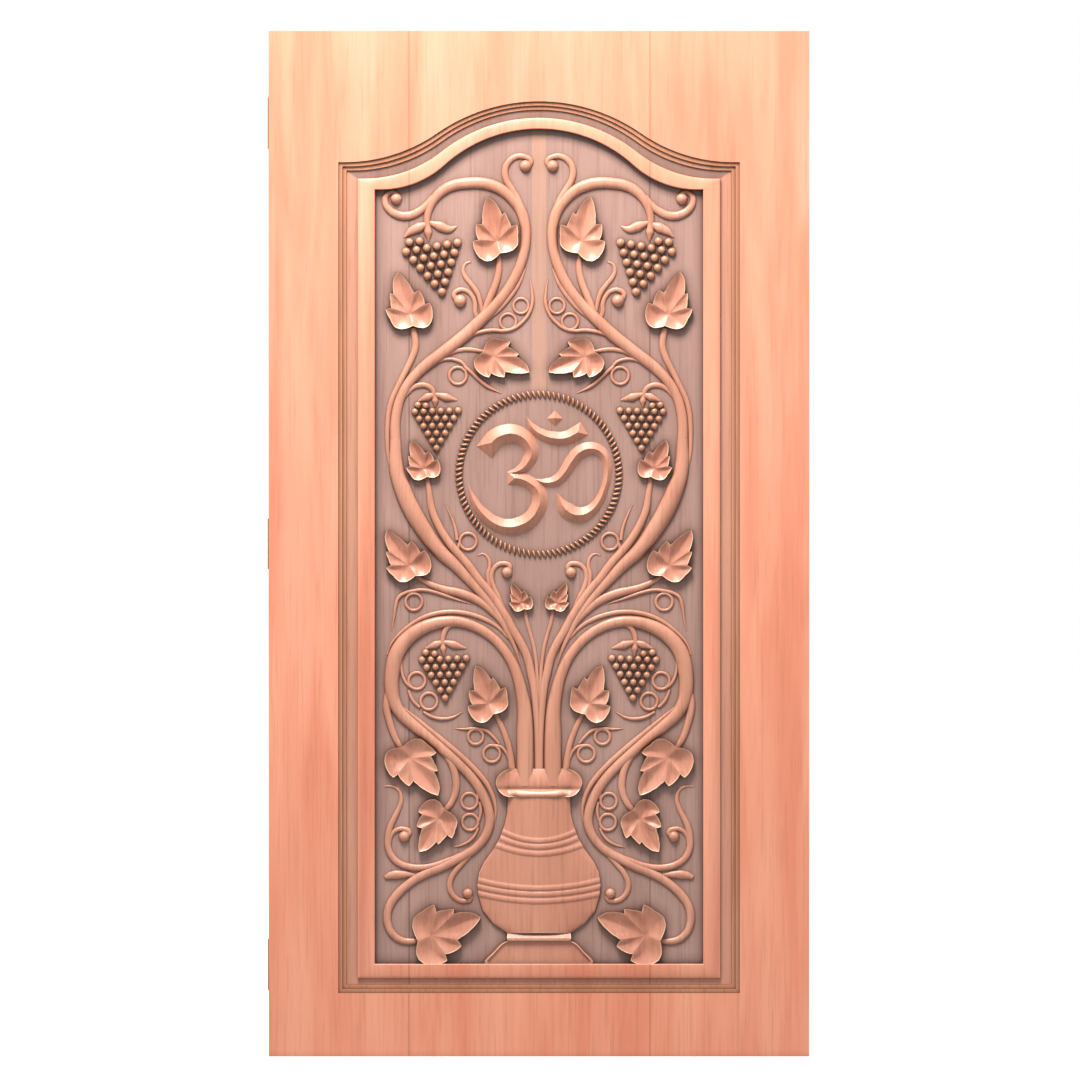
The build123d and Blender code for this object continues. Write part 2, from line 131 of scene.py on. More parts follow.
def remap(tree: Any, value: Any, source: Span, target: Span = (0.0, 1.0)) -> Any:
    """Map a value from one range to another, and give the result."""
    limits = dict(zip(("From Min", "From Max", "To Min", "To Max"), (*source, *target)))
    return add_node(tree, "ShaderNodeMapRange", {"Value": value, **limits}).outputs[0]


def noise(tree: Any, stretch: Place3, spot_mm: float, inputs: dict[str, float]) -> Any:
    """Add noise on the object's own coordinates.

    Args:
        tree: the material's node tree.
        stretch: scale along each axis; a small one draws the noise out.
        spot_mm: size of its spots.
        inputs: the noise node's other inputs.

    Returns:
        Its value.
    """
    place = add_node(tree, "ShaderNodeTexCoord").outputs["Object"]
    drawn = add_node(tree, "ShaderNodeMapping", {"Scale": stretch, "Vector": place}).outputs[0]
    scale = 1 / (spot_mm * MM)
    return add_node(tree, "ShaderNodeTexNoise", {"Scale": scale, "Vector": drawn, **inputs}).outputs[0]


def bump(tree: Any, height: Any, strength: float, distance: float) -> Any:
    """Add bump from a height, and give the normal."""
    inputs = {"Height": height, "Strength": strength, "Distance": distance}
    return add_node(tree, "ShaderNodeBump", inputs).outputs[0]


def new_material(name: str) -> tuple[Any, Any]:
    """Make a material, and give it with its node tree."""
    material = bpy.data.materials.new(name)
    material.use_nodes = True
    return material, material.node_tree


def bell(curve: Bell, place: float) -> float:
    """Give the height of a bell curve, known by its top, middle and width."""
    top, middle, width = curve
    return top * math.exp(-(((place - middle) / width) ** 2))


class Ridge(Enum):
    """Section of a carved ridge: how many sides its profile has."""

    ROUND = 14
    CHISEL = 4


@dataclass(frozen=True)
class DoorSizes:
    """Sizes of the leaf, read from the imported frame.

    Attributes:
        pixel: metres for one pixel of the photograph.
        front: place of the leaf's face along Y.
        ground: place of the panel's sunk ground along Y.
    """

    pixel: float
    front: float
    ground: float

    @classmethod
    def from_frame(cls) -> DoorSizes:
        """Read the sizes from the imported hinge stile."""
        low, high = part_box("hinge_stile")
        front = float(low[1])
        return cls(float(high[2] - low[2]) / LEAF_HEIGHT_PX, front, front + GROUND_DEPTH)

    def flat(self, place: Place) -> tuple[float, float]:
        """Give a pixel's place across and up the leaf."""
        return (place[0] - CENTRE_PX) * self.pixel, (LEAF_FOOT_PX - place[1]) * self.pixel

    def at(self, place: Place, rise: float = 0.0) -> Vector:
        """Give a pixel's place on the ground, raised towards the viewer."""
        across, up = self.flat(place)
        return Vector((across, self.ground - rise, up))


def mirrored(path: Path) -> list[Place]:
    """Mirror a path about the panel's middle line."""
    return [(2 * CENTRE_PX - x_px, y_px) for x_px, y_px in path]


def along(values: Sequence[float], share: float) -> float:
    """Interpolate evenly spaced values.

    Args:
        values: two or more values from start to end.
        share: place from 0 to 1.

    Returns:
        The value at that place.
    """
    if len(values) == 1:
        return values[0]
    place = share * (len(values) - 1)
    before = min(int(place), len(values) - 2)
    return values[before] + (values[before + 1] - values[before]) * (place - before)


@dataclass(frozen=True)
class Stroke:
    """One carved line: pixel points, widths in pixels from start to end, and whether it closes on itself."""

    path: Path
    widths: Sequence[float]
    closed: bool = False

    def mirror(self) -> Stroke:
        """Give the same line on the other half."""
        return Stroke(mirrored(self.path), self.widths, self.closed)


def ring_stroke(centre: Place, radius: float, width: float) -> Stroke:
    """Make a closed ring.

    Args:
        centre: pixel place of its middle.
        radius: mean radius in pixels.
        width: width of the line in pixels.

    Returns:
        The closed stroke.
    """
    turns = [step * 2 * math.pi / RING_POINTS for step in range(RING_POINTS)]
    path = [(centre[0] + radius * math.cos(turn), centre[1] + radius * math.sin(turn)) for turn in turns]
    return Stroke(path, (width,), True)


def lengths_along(path: Path) -> list[float]:
    """Give each point's share of the way along a path."""
    total = [0.0]
    for before, after in zip(path, path[1:]):
        total.append(total[-1] + math.dist(before, after))
    return [length / total[-1] for length in total]


def object_from(name: str, mesh: Any) -> Any:
    """Link a new object with this mesh to the scene."""
    piece = bpy.data.objects.new(name, mesh)
    bpy.context.scene.collection.objects.link(piece)
    return piece


def smooth(mesh: Any, angle_deg: float) -> None:
    """Shade a mesh smooth, apart from edges sharper than an angle."""
    for face in mesh.polygons:
        face.use_smooth = True
    mesh.set_sharp_from_angle(angle=math.radians(angle_deg))


def mesh_piece(name: str, fill: Callable[[Any], None], angle_deg: float, materials: Sequence[Any]) -> Any:
    """Make an object whose mesh is filled by a function.

    Args:
        name: the piece's name.
        fill: adds the faces to a bmesh.
        angle_deg: edges sharper than this stay sharp.
        materials: its material slots, in order.

    Returns:
        The new object.
    """
    shape = bmesh.new()
    fill(shape)
    bmesh.ops.recalc_face_normals(shape, faces=shape.faces)
    mesh = bpy.data.meshes.new(name)
    shape.to_mesh(mesh)
    shape.free()
    for material in materials:
        mesh.materials.append(material)
    smooth(mesh, angle_deg)
    return object_from(name, mesh)


def settle(piece: Any, body: str) -> Any:
    """Make a piece ride on a body, and report it."""
    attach(piece, body)
    log.info("%s: %d faces", piece.name, len(piece.data.polygons))
    return piece


def skirt(shape: Any, upper: Sequence[Any], lower: Sequence[Any]) -> list[Any]:
    """Join two closed loops of vertices, and give the faces in order."""
    after = [*range(1, len(upper)), 0]
    return [shape.faces.new((upper[i], upper[j], lower[j], lower[i])) for i, j in enumerate(after)]


def fan(shape: Any, loop: Sequence[Any], peak: Any) -> None:
    """Join a closed loop of vertices to one vertex."""
    for first, vert in enumerate(loop):
        shape.faces.new((loop[first - 1], vert, peak))


def pyramid(shape: Any, corners: Sequence[Vector], peak: Vector) -> None:
    """Add a closed pyramid."""
    foot = [shape.verts.new(corner) for corner in corners]
    fan(shape, foot, shape.verts.new(peak))
    shape.faces.new(foot)


def grow(name: str, data: Any, wire: Callable, values: dict[str, Any], finish: Any, angle_deg: float) -> Any:
    """Grow a piece from points or lines by geometry nodes, and freeze it into a plain mesh.

    Args:
        name: the piece's name.
        data: the mesh or curve that the nodes start from.
        wire: adds the nodes to a tree with these inputs, and gives the geometry.
        values: the tree's inputs by name.
        finish: its material.
        angle_deg: edges sharper than this stay sharp.

    Returns:
        The plain mesh object.
    """
    tree = bpy.data.node_groups.new(name, "GeometryNodeTree")
    kinds = {int: "Int", float: "Float", tuple: "Vector", bpy.types.Material: "Material"}
    tree.interface.new_socket("Geometry", in_out="INPUT", socket_type="NodeSocketGeometry")
    by_identifier = {}
    for key, value in {**values, "Finish": finish}.items():
        socket = tree.interface.new_socket(key, in_out="INPUT", socket_type="NodeSocket" + kinds[type(value)])
        by_identifier[socket.identifier] = value
    tree.interface.new_socket("Geometry", in_out="OUTPUT", socket_type="NodeSocketGeometry")
    given = tree.nodes.new("NodeGroupInput").outputs
    real = add_node(tree, "GeometryNodeRealizeInstances", {0: wire(tree, given)}).outputs[0]
    dressed = add_node(tree, "GeometryNodeSetMaterial", {"Geometry": real, "Material": given["Finish"]})
    add_node(tree, "NodeGroupOutput", {0: dressed.outputs[0]})
    source = object_from(name + "_source", data)
    modifier = source.modifiers.new(name, "NODES")
    modifier.node_group = tree
    for identifier, value in by_identifier.items():
        modifier[identifier] = value
    graph = bpy.context.evaluated_depsgraph_get()
    mesh = bpy.data.meshes.new_from_object(source.evaluated_get(graph), depsgraph=graph)
    mesh.name = name
    smooth(mesh, angle_deg)
    source.modifiers.clear()
    bpy.data.objects.remove(source)
    return object_from(name, mesh)


def wire_ridge(tree: Any, given: Any) -> Any:
    """Sweep a section along carved lines and flatten it onto the ground."""
    line = add_node(
        tree, "GeometryNodeSetCurveNormal", {"Curve": given["Geometry"], "Normal": (0, -1, 0)}, mode="FREE"
    )
    section = add_node(
        tree, "GeometryNodeCurvePrimitiveCircle", {"Resolution": given["Sides"], "Radius": 1.0}, mode="RADIUS"
    )
    inputs = {
        "Curve": line.outputs[0],
        "Profile Curve": section.outputs[0],
        "Scale": add_node(tree, "GeometryNodeInputRadius").outputs[0],
        "Fill Caps": True,
    }
    sweep = add_node(tree, "GeometryNodeCurveToMesh", inputs).outputs[0]
    place = add_node(tree, "GeometryNodeInputPosition").outputs[0]
    parts = add_node(tree, "ShaderNodeSeparateXYZ", {0: place}).outputs
    height = reckon(tree, "SUBTRACT", given["Ground"], parts[1])
    pressed = reckon(tree, "MULTIPLY", height, given["Rise"])
    rooted = reckon(tree, "MAXIMUM", pressed, given["Root"])
    depth = reckon(tree, "SUBTRACT", given["Ground"], rooted)
    moved = add_node(tree, "ShaderNodeCombineXYZ", {0: parts[0], 1: depth, 2: parts[2]}).outputs[0]
    return add_node(tree, "GeometryNodeSetPosition", {"Geometry": sweep, "Position": moved}).outputs[0]


def carve_lines(
    name: str,
    strokes: Sequence[Stroke],
    sizes: DoorSizes,
    ridge: Ridge,
    rise: float,
    wood: Any,
    angle_deg: float,
) -> Any:
    """Carve ridges along strokes.

    Args:
        name: the piece's name.
        strokes: the lines.
        sizes: the door's sizes.
        ridge: the section.
        rise: height of the ridge for one half-width.
        wood: its material.
        angle_deg: edges sharper than this stay sharp.

    Returns:
        The plain mesh object.
    """
    curve = bpy.data.curves.new(name + "_lines", "CURVE")
    curve.dimensions = "3D"
    curve.resolution_u = LINE_STEPS
    for stroke in strokes:
        spline = curve.splines.new("BEZIER")
        spline.bezier_points.add(len(stroke.path) - 1)
        spline.use_cyclic_u = stroke.closed
        shares = lengths_along(stroke.path)
        for point, place, share in zip(spline.bezier_points, stroke.path, shares):
            point.co = sizes.at(place)
            point.handle_left_type = "AUTO"
            point.handle_right_type = "AUTO"
            point.radius = along(stroke.widths, share) / 2 * sizes.pixel
    values = {"Sides": ridge.value, "Rise": rise, "Ground": sizes.ground, "Root": -ROOT_DEPTH}
    return grow(name, curve, wire_ridge, values, wood, angle_deg)


@dataclass(frozen=True)
class TeakFinish:
    """Oiled teak, planed and sanded: fine vertical pores and broader colour figure, with a satin skin.

    Attributes:
        name: material name.
        pale: colour of the early wood.
        deep: colour of the late wood.
        pore_and_shade: colour of the pores and joints, and of the painted shade in hollows.
        strip_and_highlight: colour of the painted highlight on sharp edges, and of a paler strip.
        grain_mm: spacing of the fine grain across the board.
        figure_mm: width of the broad colour figure.
        roughness: roughness of the oiled skin.
        hollow_share: how much painted shade darkens recesses.
        hollow_mm: reach of that darkening.
        coat: weight of the clear polish.
        edge_highlight: how much paler the sharp edges are, as a painted highlight.
        seams_px: photograph columns of the joints between boards, dark and thin.
        strip_px: two opposite corners of a paler upright strip.
        sizes: the door's sizes, where there are seams or a strip.

    The fields from grain_draw on tune the nodes: how far noise is drawn out, spans of values, shares
    and reaches.
    """

    name: str
    pale: str
    deep: str
    pore_and_shade: str
    strip_and_highlight: str = "ffd9b8"
    grain_mm: float = 5.0
    figure_mm: float = 60.0
    roughness: float = 0.42
    hollow_share: float = 0.6
    hollow_mm: float = 14.0
    coat: float = 0.15
    edge_highlight: float = 0.0
    seams_px: Sequence[float] = ()
    strip_px: Sequence[Place] = ()
    sizes: DoorSizes | None = None
    grain_draw: float = 0.03
    grain_span: Span = (0.5, 0.78)
    grain_share: float = 0.35
    figure_draw: float = 0.12
    figure_span: Span = (0.35, 0.68)
    seam_mm: float = 2.4
    seam_share: float = 0.6
    strip_share: float = 0.45
    hollow_span: Span = (0.42, 1.0)
    edge_mm: float = 2.5
    edge_span: Span = (0.45, 0.9)
    polish_roughness: float = 0.3
    roughness_spread: Span = (-0.08, 0.1)
    grain_bump: Span = (0.12, 0.6 * MM)
    refraction: float = 1.5

    def seamed(self, tree: Any, skin: Any) -> Any:
        """Draw the joints between boards and the paler strip.

        Args:
            tree: the material's node tree.
            skin: the wood's colour so far.

        Returns:
            The colour with joints and strip.
        """
        place = add_node(tree, "ShaderNodeTexCoord").outputs["Object"]
        parts = add_node(tree, "ShaderNodeSeparateXYZ", {0: place}).outputs
        for column in self.seams_px:
            gap = reckon(tree, "SUBTRACT", parts[0], self.sizes.flat((column, 0))[0])
            away = reckon(tree, "ABSOLUTE", gap)
            line = remap(tree, away, (0.0, self.seam_mm * MM), (self.seam_share, 0.0))
            skin = mix(tree, line, skin, linear(self.pore_and_shade))
        if self.strip_px:
            share = self.strip_share
            corners = [self.sizes.flat(corner) for corner in self.strip_px]
            for part, (one, other) in zip((parts[0], parts[2]), zip(*corners)):
                inside = reckon(tree, "COMPARE", part, (one + other) / 2, abs(other - one) / 2)
                share = reckon(tree, "MULTIPLY", inside, share)
            skin = mix(tree, share, skin, linear(self.strip_and_highlight))
        return skin

    def build(self) -> Any:
        """Build the material's nodes.

        Returns:
            The material.
        """
        material, tree = new_material(self.name)
        pore_and_shade, strip_and_highlight = linear(self.pore_and_shade), linear(self.strip_and_highlight)
        grain = noise(tree, (1, 1, self.grain_draw), self.grain_mm, {"Detail": 4.0, "Roughness": 0.6})
        figure = noise(tree, (1, 1, self.figure_draw), self.figure_mm, {"Detail": 3.0, "Distortion": 0.4})
        skin = mix(tree, remap(tree, figure, self.figure_span), linear(self.pale), linear(self.deep))
        skin = mix(tree, remap(tree, grain, self.grain_span, (0.0, self.grain_share)), skin, pore_and_shade)
        skin = self.seamed(tree, skin)
        near = {"samples": OCCLUSION_SAMPLES}
        # Painted shade: recesses found by occlusion turn towards the dark pore colour.
        hollow = add_node(tree, "ShaderNodeAmbientOcclusion", {"Distance": self.hollow_mm * MM}, **near)
        painted_shade = remap(tree, hollow.outputs["AO"], self.hollow_span, (self.hollow_share, 0.0))
        skin = mix(tree, painted_shade, skin, pore_and_shade)
        # Painted highlight: convex edges, found by occlusion traced inside, turn paler.
        if self.edge_highlight:
            near.update(inside=True, only_local=True)
            edge = add_node(tree, "ShaderNodeAmbientOcclusion", {"Distance": self.edge_mm * MM}, **near)
            skin = mix(tree, remap(tree, edge.outputs["AO"], self.edge_span, (self.edge_highlight, 0.0)), skin, strip_and_highlight)
        rough = tuple(self.roughness + by for by in self.roughness_spread)
        inputs = {
            "Base Color": skin,
            "Roughness": remap(tree, grain, (0.0, 1.0), rough),
            "Normal": bump(tree, grain, *self.grain_bump),
            "IOR": self.refraction,
            "Coat Weight": self.coat,
            "Coat Roughness": self.polish_roughness,
        }
        plug(tree, tree.nodes["Principled BSDF"], inputs)
        return material


@dataclass(frozen=True)
class BrassFinish:
    """Satin brass, brushed and lightly tarnished: warm metal with fine cross scratches."""

    name: str = "satin_brass"
    bright: str = "c9a35c"
    dull: str = "8d6b36"
    scratch_mm: float = 1.2
    scratch_draw: float = 0.2
    tarnish_mm: float = 50 / 3
    roughness: Span = (0.28, 0.45)
    scratch_bump: Span = (0.15, 0.2 * MM)

    def build(self) -> Any:
        """Build the material's nodes.

        Returns:
            The material.
        """
        material, tree = new_material(self.name)
        scratch = noise(tree, (self.scratch_draw, 1, 1), self.scratch_mm, {"Detail": 3.0})
        tarnish = noise(tree, (1, 1, 1), self.tarnish_mm, {"Detail": 4.0})
        inputs = {
            "Base Color": mix(tree, tarnish, linear(self.bright), linear(self.dull)),
            "Metallic": 1.0,
            "Roughness": remap(tree, scratch, (0.0, 1.0), self.roughness),
            "Normal": bump(tree, scratch, *self.scratch_bump),
        }
        plug(tree, tree.nodes["Principled BSDF"], inputs)
        return material


class BoardSlot(IntEnum):
    """Order of the panel board's finishes."""

    BAND = 0
    # The recess round the band, in a darker finish of painted shade.
    MARGIN = 1
    GROUND = 2
    # The recess under the arch, darker and greyer still: a painted shadow from the arch above.
    ARCH = 3


@dataclass
class PanelBoard:
    """Panel board: recessed margin, raised band that follows the ogee arch, and sunk ground.

    Sizes are in metres from the frame's face edge, and depths from the leaf's front.
    """

    sizes: DoorSizes
    teak: Any
    margin_wood: Any
    ground_wood: Any
    hollow_wood: Any
    half_opening: float = 397.5 * MM
    foot: float = 125.5 * MM
    shoulder: float = 1770.5 * MM
    crown: float = 1891.0 * MM
    shoulder_flat: float = 13.0 * MM
    frame_margin: float = 16.4 * MM
    band_margin: tuple[float, float, float] = (38.6 * MM, 32.7 * MM, 29.7 * MM)
    field_margin: tuple[float, float, float] = (72.3 * MM, 54.5 * MM, 57.5 * MM)
    recess_depth: float = 10.0 * MM
    band_depth: float = 2.5 * MM
    back_depth: float = 34.0 * MM
    edge_round: float = 1.4 * MM
    chamfer_width: float = 5.0 * MM
    chamfer_depth: float = 2.4 * MM
    arc_steps: int = 24
    edge_crown: float = 0.524
    band_crown: float = 0.56
    field_crown: float = 0.6
    crease_deg: float = 30

    def outline(self, side: float, top: float, bottom: float, crown_share: float) -> list[Place]:
        """Trace the arched outline inside the frame's face edge by three margins.

        Args:
            side: margin at the sides.
            top: margin at the arch.
            bottom: margin at the foot.
            crown_share: where the crown's arc ends, from crown to shoulder.

        Returns:
            Places across and up, from the left foot round to the right foot.
        """
        half = self.half_opening - side
        shoulder = self.shoulder - top
        crown = self.crown - top
        reach = half - self.shoulder_flat
        lean = 2 * math.atan((crown - shoulder) / reach)
        radii = reach / math.sin(lean)
        crown_radius = radii * crown_share
        hollow_radius = radii - crown_radius
        right: list[Place] = []
        for step in range(self.arc_steps + 1):
            turn = lean * step / self.arc_steps
            right.append((crown_radius * math.sin(turn), crown - crown_radius * (1 - math.cos(turn))))
        for step in range(1, self.arc_steps + 1):
            turn = lean * (1 - step / self.arc_steps)
            up = shoulder + hollow_radius * (1 - math.cos(turn))
            right.append((reach - hollow_radius * math.sin(turn), up))
        right += [(half, shoulder), (half, self.foot + bottom)]
        left = [(-across, up) for across, up in reversed(right[1:])]
        return left + right

    def rings(self) -> list[tuple[list[Place], float]]:
        """List the outlines from the back edge to the ground, each with its depth."""
        soft = self.edge_round
        edge = self.outline(*[self.frame_margin] * 3, self.edge_crown)
        band = self.outline(*self.band_margin, self.band_crown)
        flat_margins = [margin + self.chamfer_width for margin in self.band_margin]
        band_top = self.outline(*flat_margins, self.band_crown)
        lip = self.outline(*[margin - soft for margin in self.field_margin], self.field_crown)
        inner = self.outline(*self.field_margin, self.field_crown)
        ground_depth = self.sizes.ground - self.sizes.front
        return [
            (edge, self.back_depth),
            (edge, self.recess_depth),
            (band, self.recess_depth),
            (band, self.band_depth + self.chamfer_depth),
            (band_top, self.band_depth),
            (lip, self.band_depth),
            (inner, self.band_depth + soft),
            (inner, ground_depth),
        ]

    def fill(self, shape: Any) -> None:
        """Add the board's faces: walls between rings, the back and the ground."""
        loops = []
        for outline, depth in self.rings():
            loops.append([shape.verts.new((x, self.sizes.front + depth, z)) for x, z in outline])
        arch_foot = self.shoulder - 2 * self.frame_margin
        for outer, inner in zip(loops, loops[1:]):
            for face in skirt(shape, outer, inner):
                face.material_index = BoardSlot.BAND
                # The recess takes the painted-shade finishes: darker at the sides, and darker and greyer under
                # the arch as a painted shadow.
                if outer is loops[1]:
                    arched = min(vert.co.z for vert in face.verts if vert in outer) > arch_foot
                    face.material_index = BoardSlot.ARCH if arched else BoardSlot.MARGIN
                elif inner is loops[-1]:
                    face.material_index = BoardSlot.GROUND
        shape.faces.new(loops[0])
        shape.faces.new(loops[-1]).material_index = BoardSlot.GROUND

    def build(self) -> Any:
        """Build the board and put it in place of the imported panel."""
        woods = (self.teak, self.margin_wood, self.ground_wood, self.hollow_wood)
        piece = mesh_piece("panel_board", self.fill, self.crease_deg, woods)
        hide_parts("carved_panel")
        return settle(piece, "leaf")


@dataclass
class Vine:
    """Vine scrolls, stalks, volutes and tendrils of the left half, carved on both halves of the panel."""

    sizes: DoorSizes
    wood: Any
    stem_rise: float = 0.66
    tendril_rise: float = 1.0
    crease_deg: float = 60
    stems: Sequence[Stroke] = (
        # main vine below the ring
        Stroke([(395, 438), (396.7, 470), (402.8, 490), (411.7, 510), (423.9, 530), (433, 543),
                (441.7, 553), (455, 565), (469, 580), (481.7, 594), (491.7, 606), (500.6, 619), (507, 631),
                (515, 648), (521, 666)], (11, 15, 18, 18, 15, 12, 9, 8, 6, 1)),
        # stalk of the fourth leaf, down to the vase
        Stroke([(427, 478), (429.4, 494), (432, 510), (437, 523), (444, 535.6), (453, 548), (467, 564),
                (478, 579), (489.4, 592), (498, 604.4), (506, 616.7), (512.8, 630), (520.6, 643),
                (527, 656.7), (530.6, 672), (534, 689), (536, 710), (537, 735), (537, 779)], (5, 8, 9, 9, 9,
                9, 9, 8, 6, 5)),
        # main vine over the ring to the upper bunch
        Stroke([(395, 438), (395, 424), (397, 409), (401.5, 395), (408.5, 383), (418, 372), (429, 362.5),
                (441, 353.5), (454, 343.5), (467, 333), (479, 321.5), (491, 309.5), (502, 297),
                (511.5, 283.5), (519, 268), (523.8, 253), (525.6, 240), (525, 225), (521, 211),
                (513.5, 200), (504, 191), (493, 185.3), (480, 182.5), (466, 182.8), (453, 185), (443, 190),
                (434.8, 198), (429.3, 208), (427, 219), (427.8, 229)], (11, 10, 12, 13, 11, 10, 11, 12, 11,
                6)),
        # outer strand from the second leaf
        Stroke([(413, 328), (415, 339), (415, 348), (411.7, 358), (407, 368), (402, 378), (396.5, 389),
                (392, 399), (389, 410), (387.5, 424), (387.2, 440), (388, 455), (391, 470)], (7, 7, 6, 6, 5,
                3)),
        # rib on the upper arc
        Stroke([(525.5, 268), (518, 285), (509.5, 297), (500, 308), (488, 318.5)], (2, 5, 6, 4)),
        # volutes of the upper part
        Stroke([(523, 213), (518, 200), (511.5, 189), (506.5, 180), (505, 170), (509, 161), (517, 156),
                (525, 156.5), (530.5, 160.5), (528.5, 166)], (6, 8, 7, 7, 6, 6)),
        Stroke([(433, 196), (427.5, 203.5), (418, 211.5), (407, 215.5), (396.5, 214), (388.5, 208.5),
                (385, 201.5), (386.5, 194.5), (392.5, 191.5), (397, 195)], (6, 8, 9, 9, 8, 6, 6)),
        Stroke([(479, 322), (475.5, 312), (475, 303), (471.5, 295), (465, 290), (458.5, 290), (454, 294),
                (456, 299)], (5, 5, 5, 6)),
        Stroke([(482, 312), (480, 301), (476.5, 291.5), (471, 284), (465.8, 277.5), (463, 270.5),
                (465, 264), (470.5, 261.3)], (4, 5.5, 5, 2)),
        # stalks of the leaves and bunches
        Stroke([(483, 318), (487, 305), (492, 293), (496.5, 281), (498.8, 269), (498, 252)], (7, 8, 7, 5)),
        Stroke([(440, 360), (449.5, 353), (459.5, 349.8), (470.5, 349.3), (483, 351.5)], (5, 5, 4)),
        Stroke([(404, 396), (412, 388), (419.5, 385), (427, 385.7), (432.5, 390), (434.3, 398)], (5, 6, 5)),
        Stroke([(469.5, 623), (457, 623), (448, 626.7), (444, 633), (442, 644)], (5, 6, 5)),
        Stroke([(415.5, 575), (424, 581), (434, 586), (446, 590), (459.5, 593), (471, 597), (482, 603),
                (492, 611.5), (501, 621), (508, 632)], (4, 6, 8, 9, 9, 8, 7, 5)),
        Stroke([(524.5, 607), (527, 622), (530.5, 634.5), (534, 648), (536, 662), (537.2, 680), (538, 700),
                (538.5, 779)], (4, 4, 5, 5)),
        Stroke([(494.5, 712), (500.5, 724.5), (506, 738), (509.5, 750), (513, 776)], (5, 6, 7, 8)),
        Stroke([(389, 686), (386.5, 706), (389.5, 722), (394, 736), (401, 749)], (6, 8, 8, 7, 6)),
        Stroke([(440, 748), (448, 758.5), (453.8, 770), (456, 781), (455.5, 792), (451.8, 802), (445, 811)],
                (5, 7, 8, 8, 7, 6)),
        # lower scroll: trunk, diagonal and tail
        Stroke([(525, 786), (525, 735), (524.5, 710), (522, 694), (518, 678), (511, 661), (501.5, 647),
                (489, 635), (475.5, 627), (461.5, 622.3), (447, 621.5), (433, 624), (419.5, 629.5),
                (407.5, 638.5), (398.5, 650), (394, 661.5), (392, 674), (391.5, 688), (394, 702),
                (401, 714), (413, 725), (427, 736.5), (440, 747.5), (452, 758), (463, 768.5), (472.5, 779),
                (480, 790), (485.5, 801.5), (489, 813), (489.5, 824), (486, 835), (478, 845.8),
                (467, 854.3), (455, 861), (441.7, 867.5), (428, 873), (416, 879), (405, 887), (396, 896),
                (389.5, 906), (387, 917), (388, 926), (392, 934), (399.5, 940), (408, 942), (420, 941)],
                (18, 19, 16, 12, 10, 10, 11, 14, 16, 15, 12, 11, 10, 10, 10, 9, 9, 9, 9, 8, 6)),
        Stroke([(508, 638), (497.5, 627), (486.5, 620.3), (475, 615.8), (463.5, 613), (451.5, 612),
                (439.5, 613), (427.5, 616), (416.5, 621), (406.5, 628), (397.5, 636), (390.5, 645),
                (387, 655)], (3, 5, 5, 5, 4, 2)),
        Stroke([(402, 707), (417, 719.5), (430.5, 730.8), (444, 742), (457, 753), (470.5, 765.5),
                (481.5, 777.5), (489.5, 789), (494, 800.5), (495.5, 812), (494, 823)], (2, 5, 6, 6, 6, 5,
                2)),
        # volutes of the lower part
        Stroke([(470, 849), (459.5, 855.8), (447, 861.3), (435, 865.8), (422.8, 868), (410.5, 867.5),
                (399.5, 863.8), (391.8, 857), (388, 848), (387.8, 838.5), (389.8, 828), (394.2, 818),
                (399, 808), (401, 798), (398, 790), (391.7, 786.7), (384, 786.7)], (4, 6, 7, 7, 7, 7, 6, 4,
                1.5)),
        Stroke([(388.5, 845), (390.5, 836.5), (396, 830.5), (403.5, 829.5), (409, 832.5), (407, 836)], (5,
                5, 6)),
        Stroke([(470, 856), (461, 865), (453.5, 874), (449.8, 883.5), (451, 892.5), (456.5, 899),
                (464, 901.5), (470.5, 898.5), (467, 895)], (4, 6, 6, 6, 5, 6)),
        Stroke([(505, 608), (498, 596), (492.8, 585), (491.5, 575), (495, 567), (502.5, 563.5),
                (509.5, 566), (508.5, 571)], (1, 6, 5, 5, 6)),
        Stroke([(477.5, 555.5), (483, 554), (488, 558), (489.8, 566), (488, 574), (488.5, 583), (492, 594)],
                (1.5, 4, 4.5, 4)),
        # bud
        Stroke([(416, 875.5), (406, 875), (396, 875), (390, 876), (385, 878)], (2, 6, 10, 9, 5)),
        # bracts over the bunches
        Stroke([(428, 223), (419, 227), (411, 231), (404, 237)], (4, 11, 9, 2)),
        Stroke([(429, 222), (440, 226), (449, 229), (457, 226)], (4, 11, 9, 2)),
        Stroke([(427.5, 224), (428, 232), (428.5, 241)], (6, 9, 2)),
        Stroke([(435, 394), (427, 397), (418, 401)], (4, 9, 2)),
        Stroke([(434, 394), (446, 397), (457, 400)], (4, 9, 2)),
        Stroke([(434.5, 395), (435, 401), (435, 407)], (4, 7, 2)),
        Stroke([(443, 642), (435, 645), (425, 649)], (4, 9, 2)),
        Stroke([(443, 642), (454, 645), (466, 648.5)], (4, 9, 2)),
        Stroke([(442.5, 643), (443, 649), (443.5, 656)], (4, 7, 2)),
    )
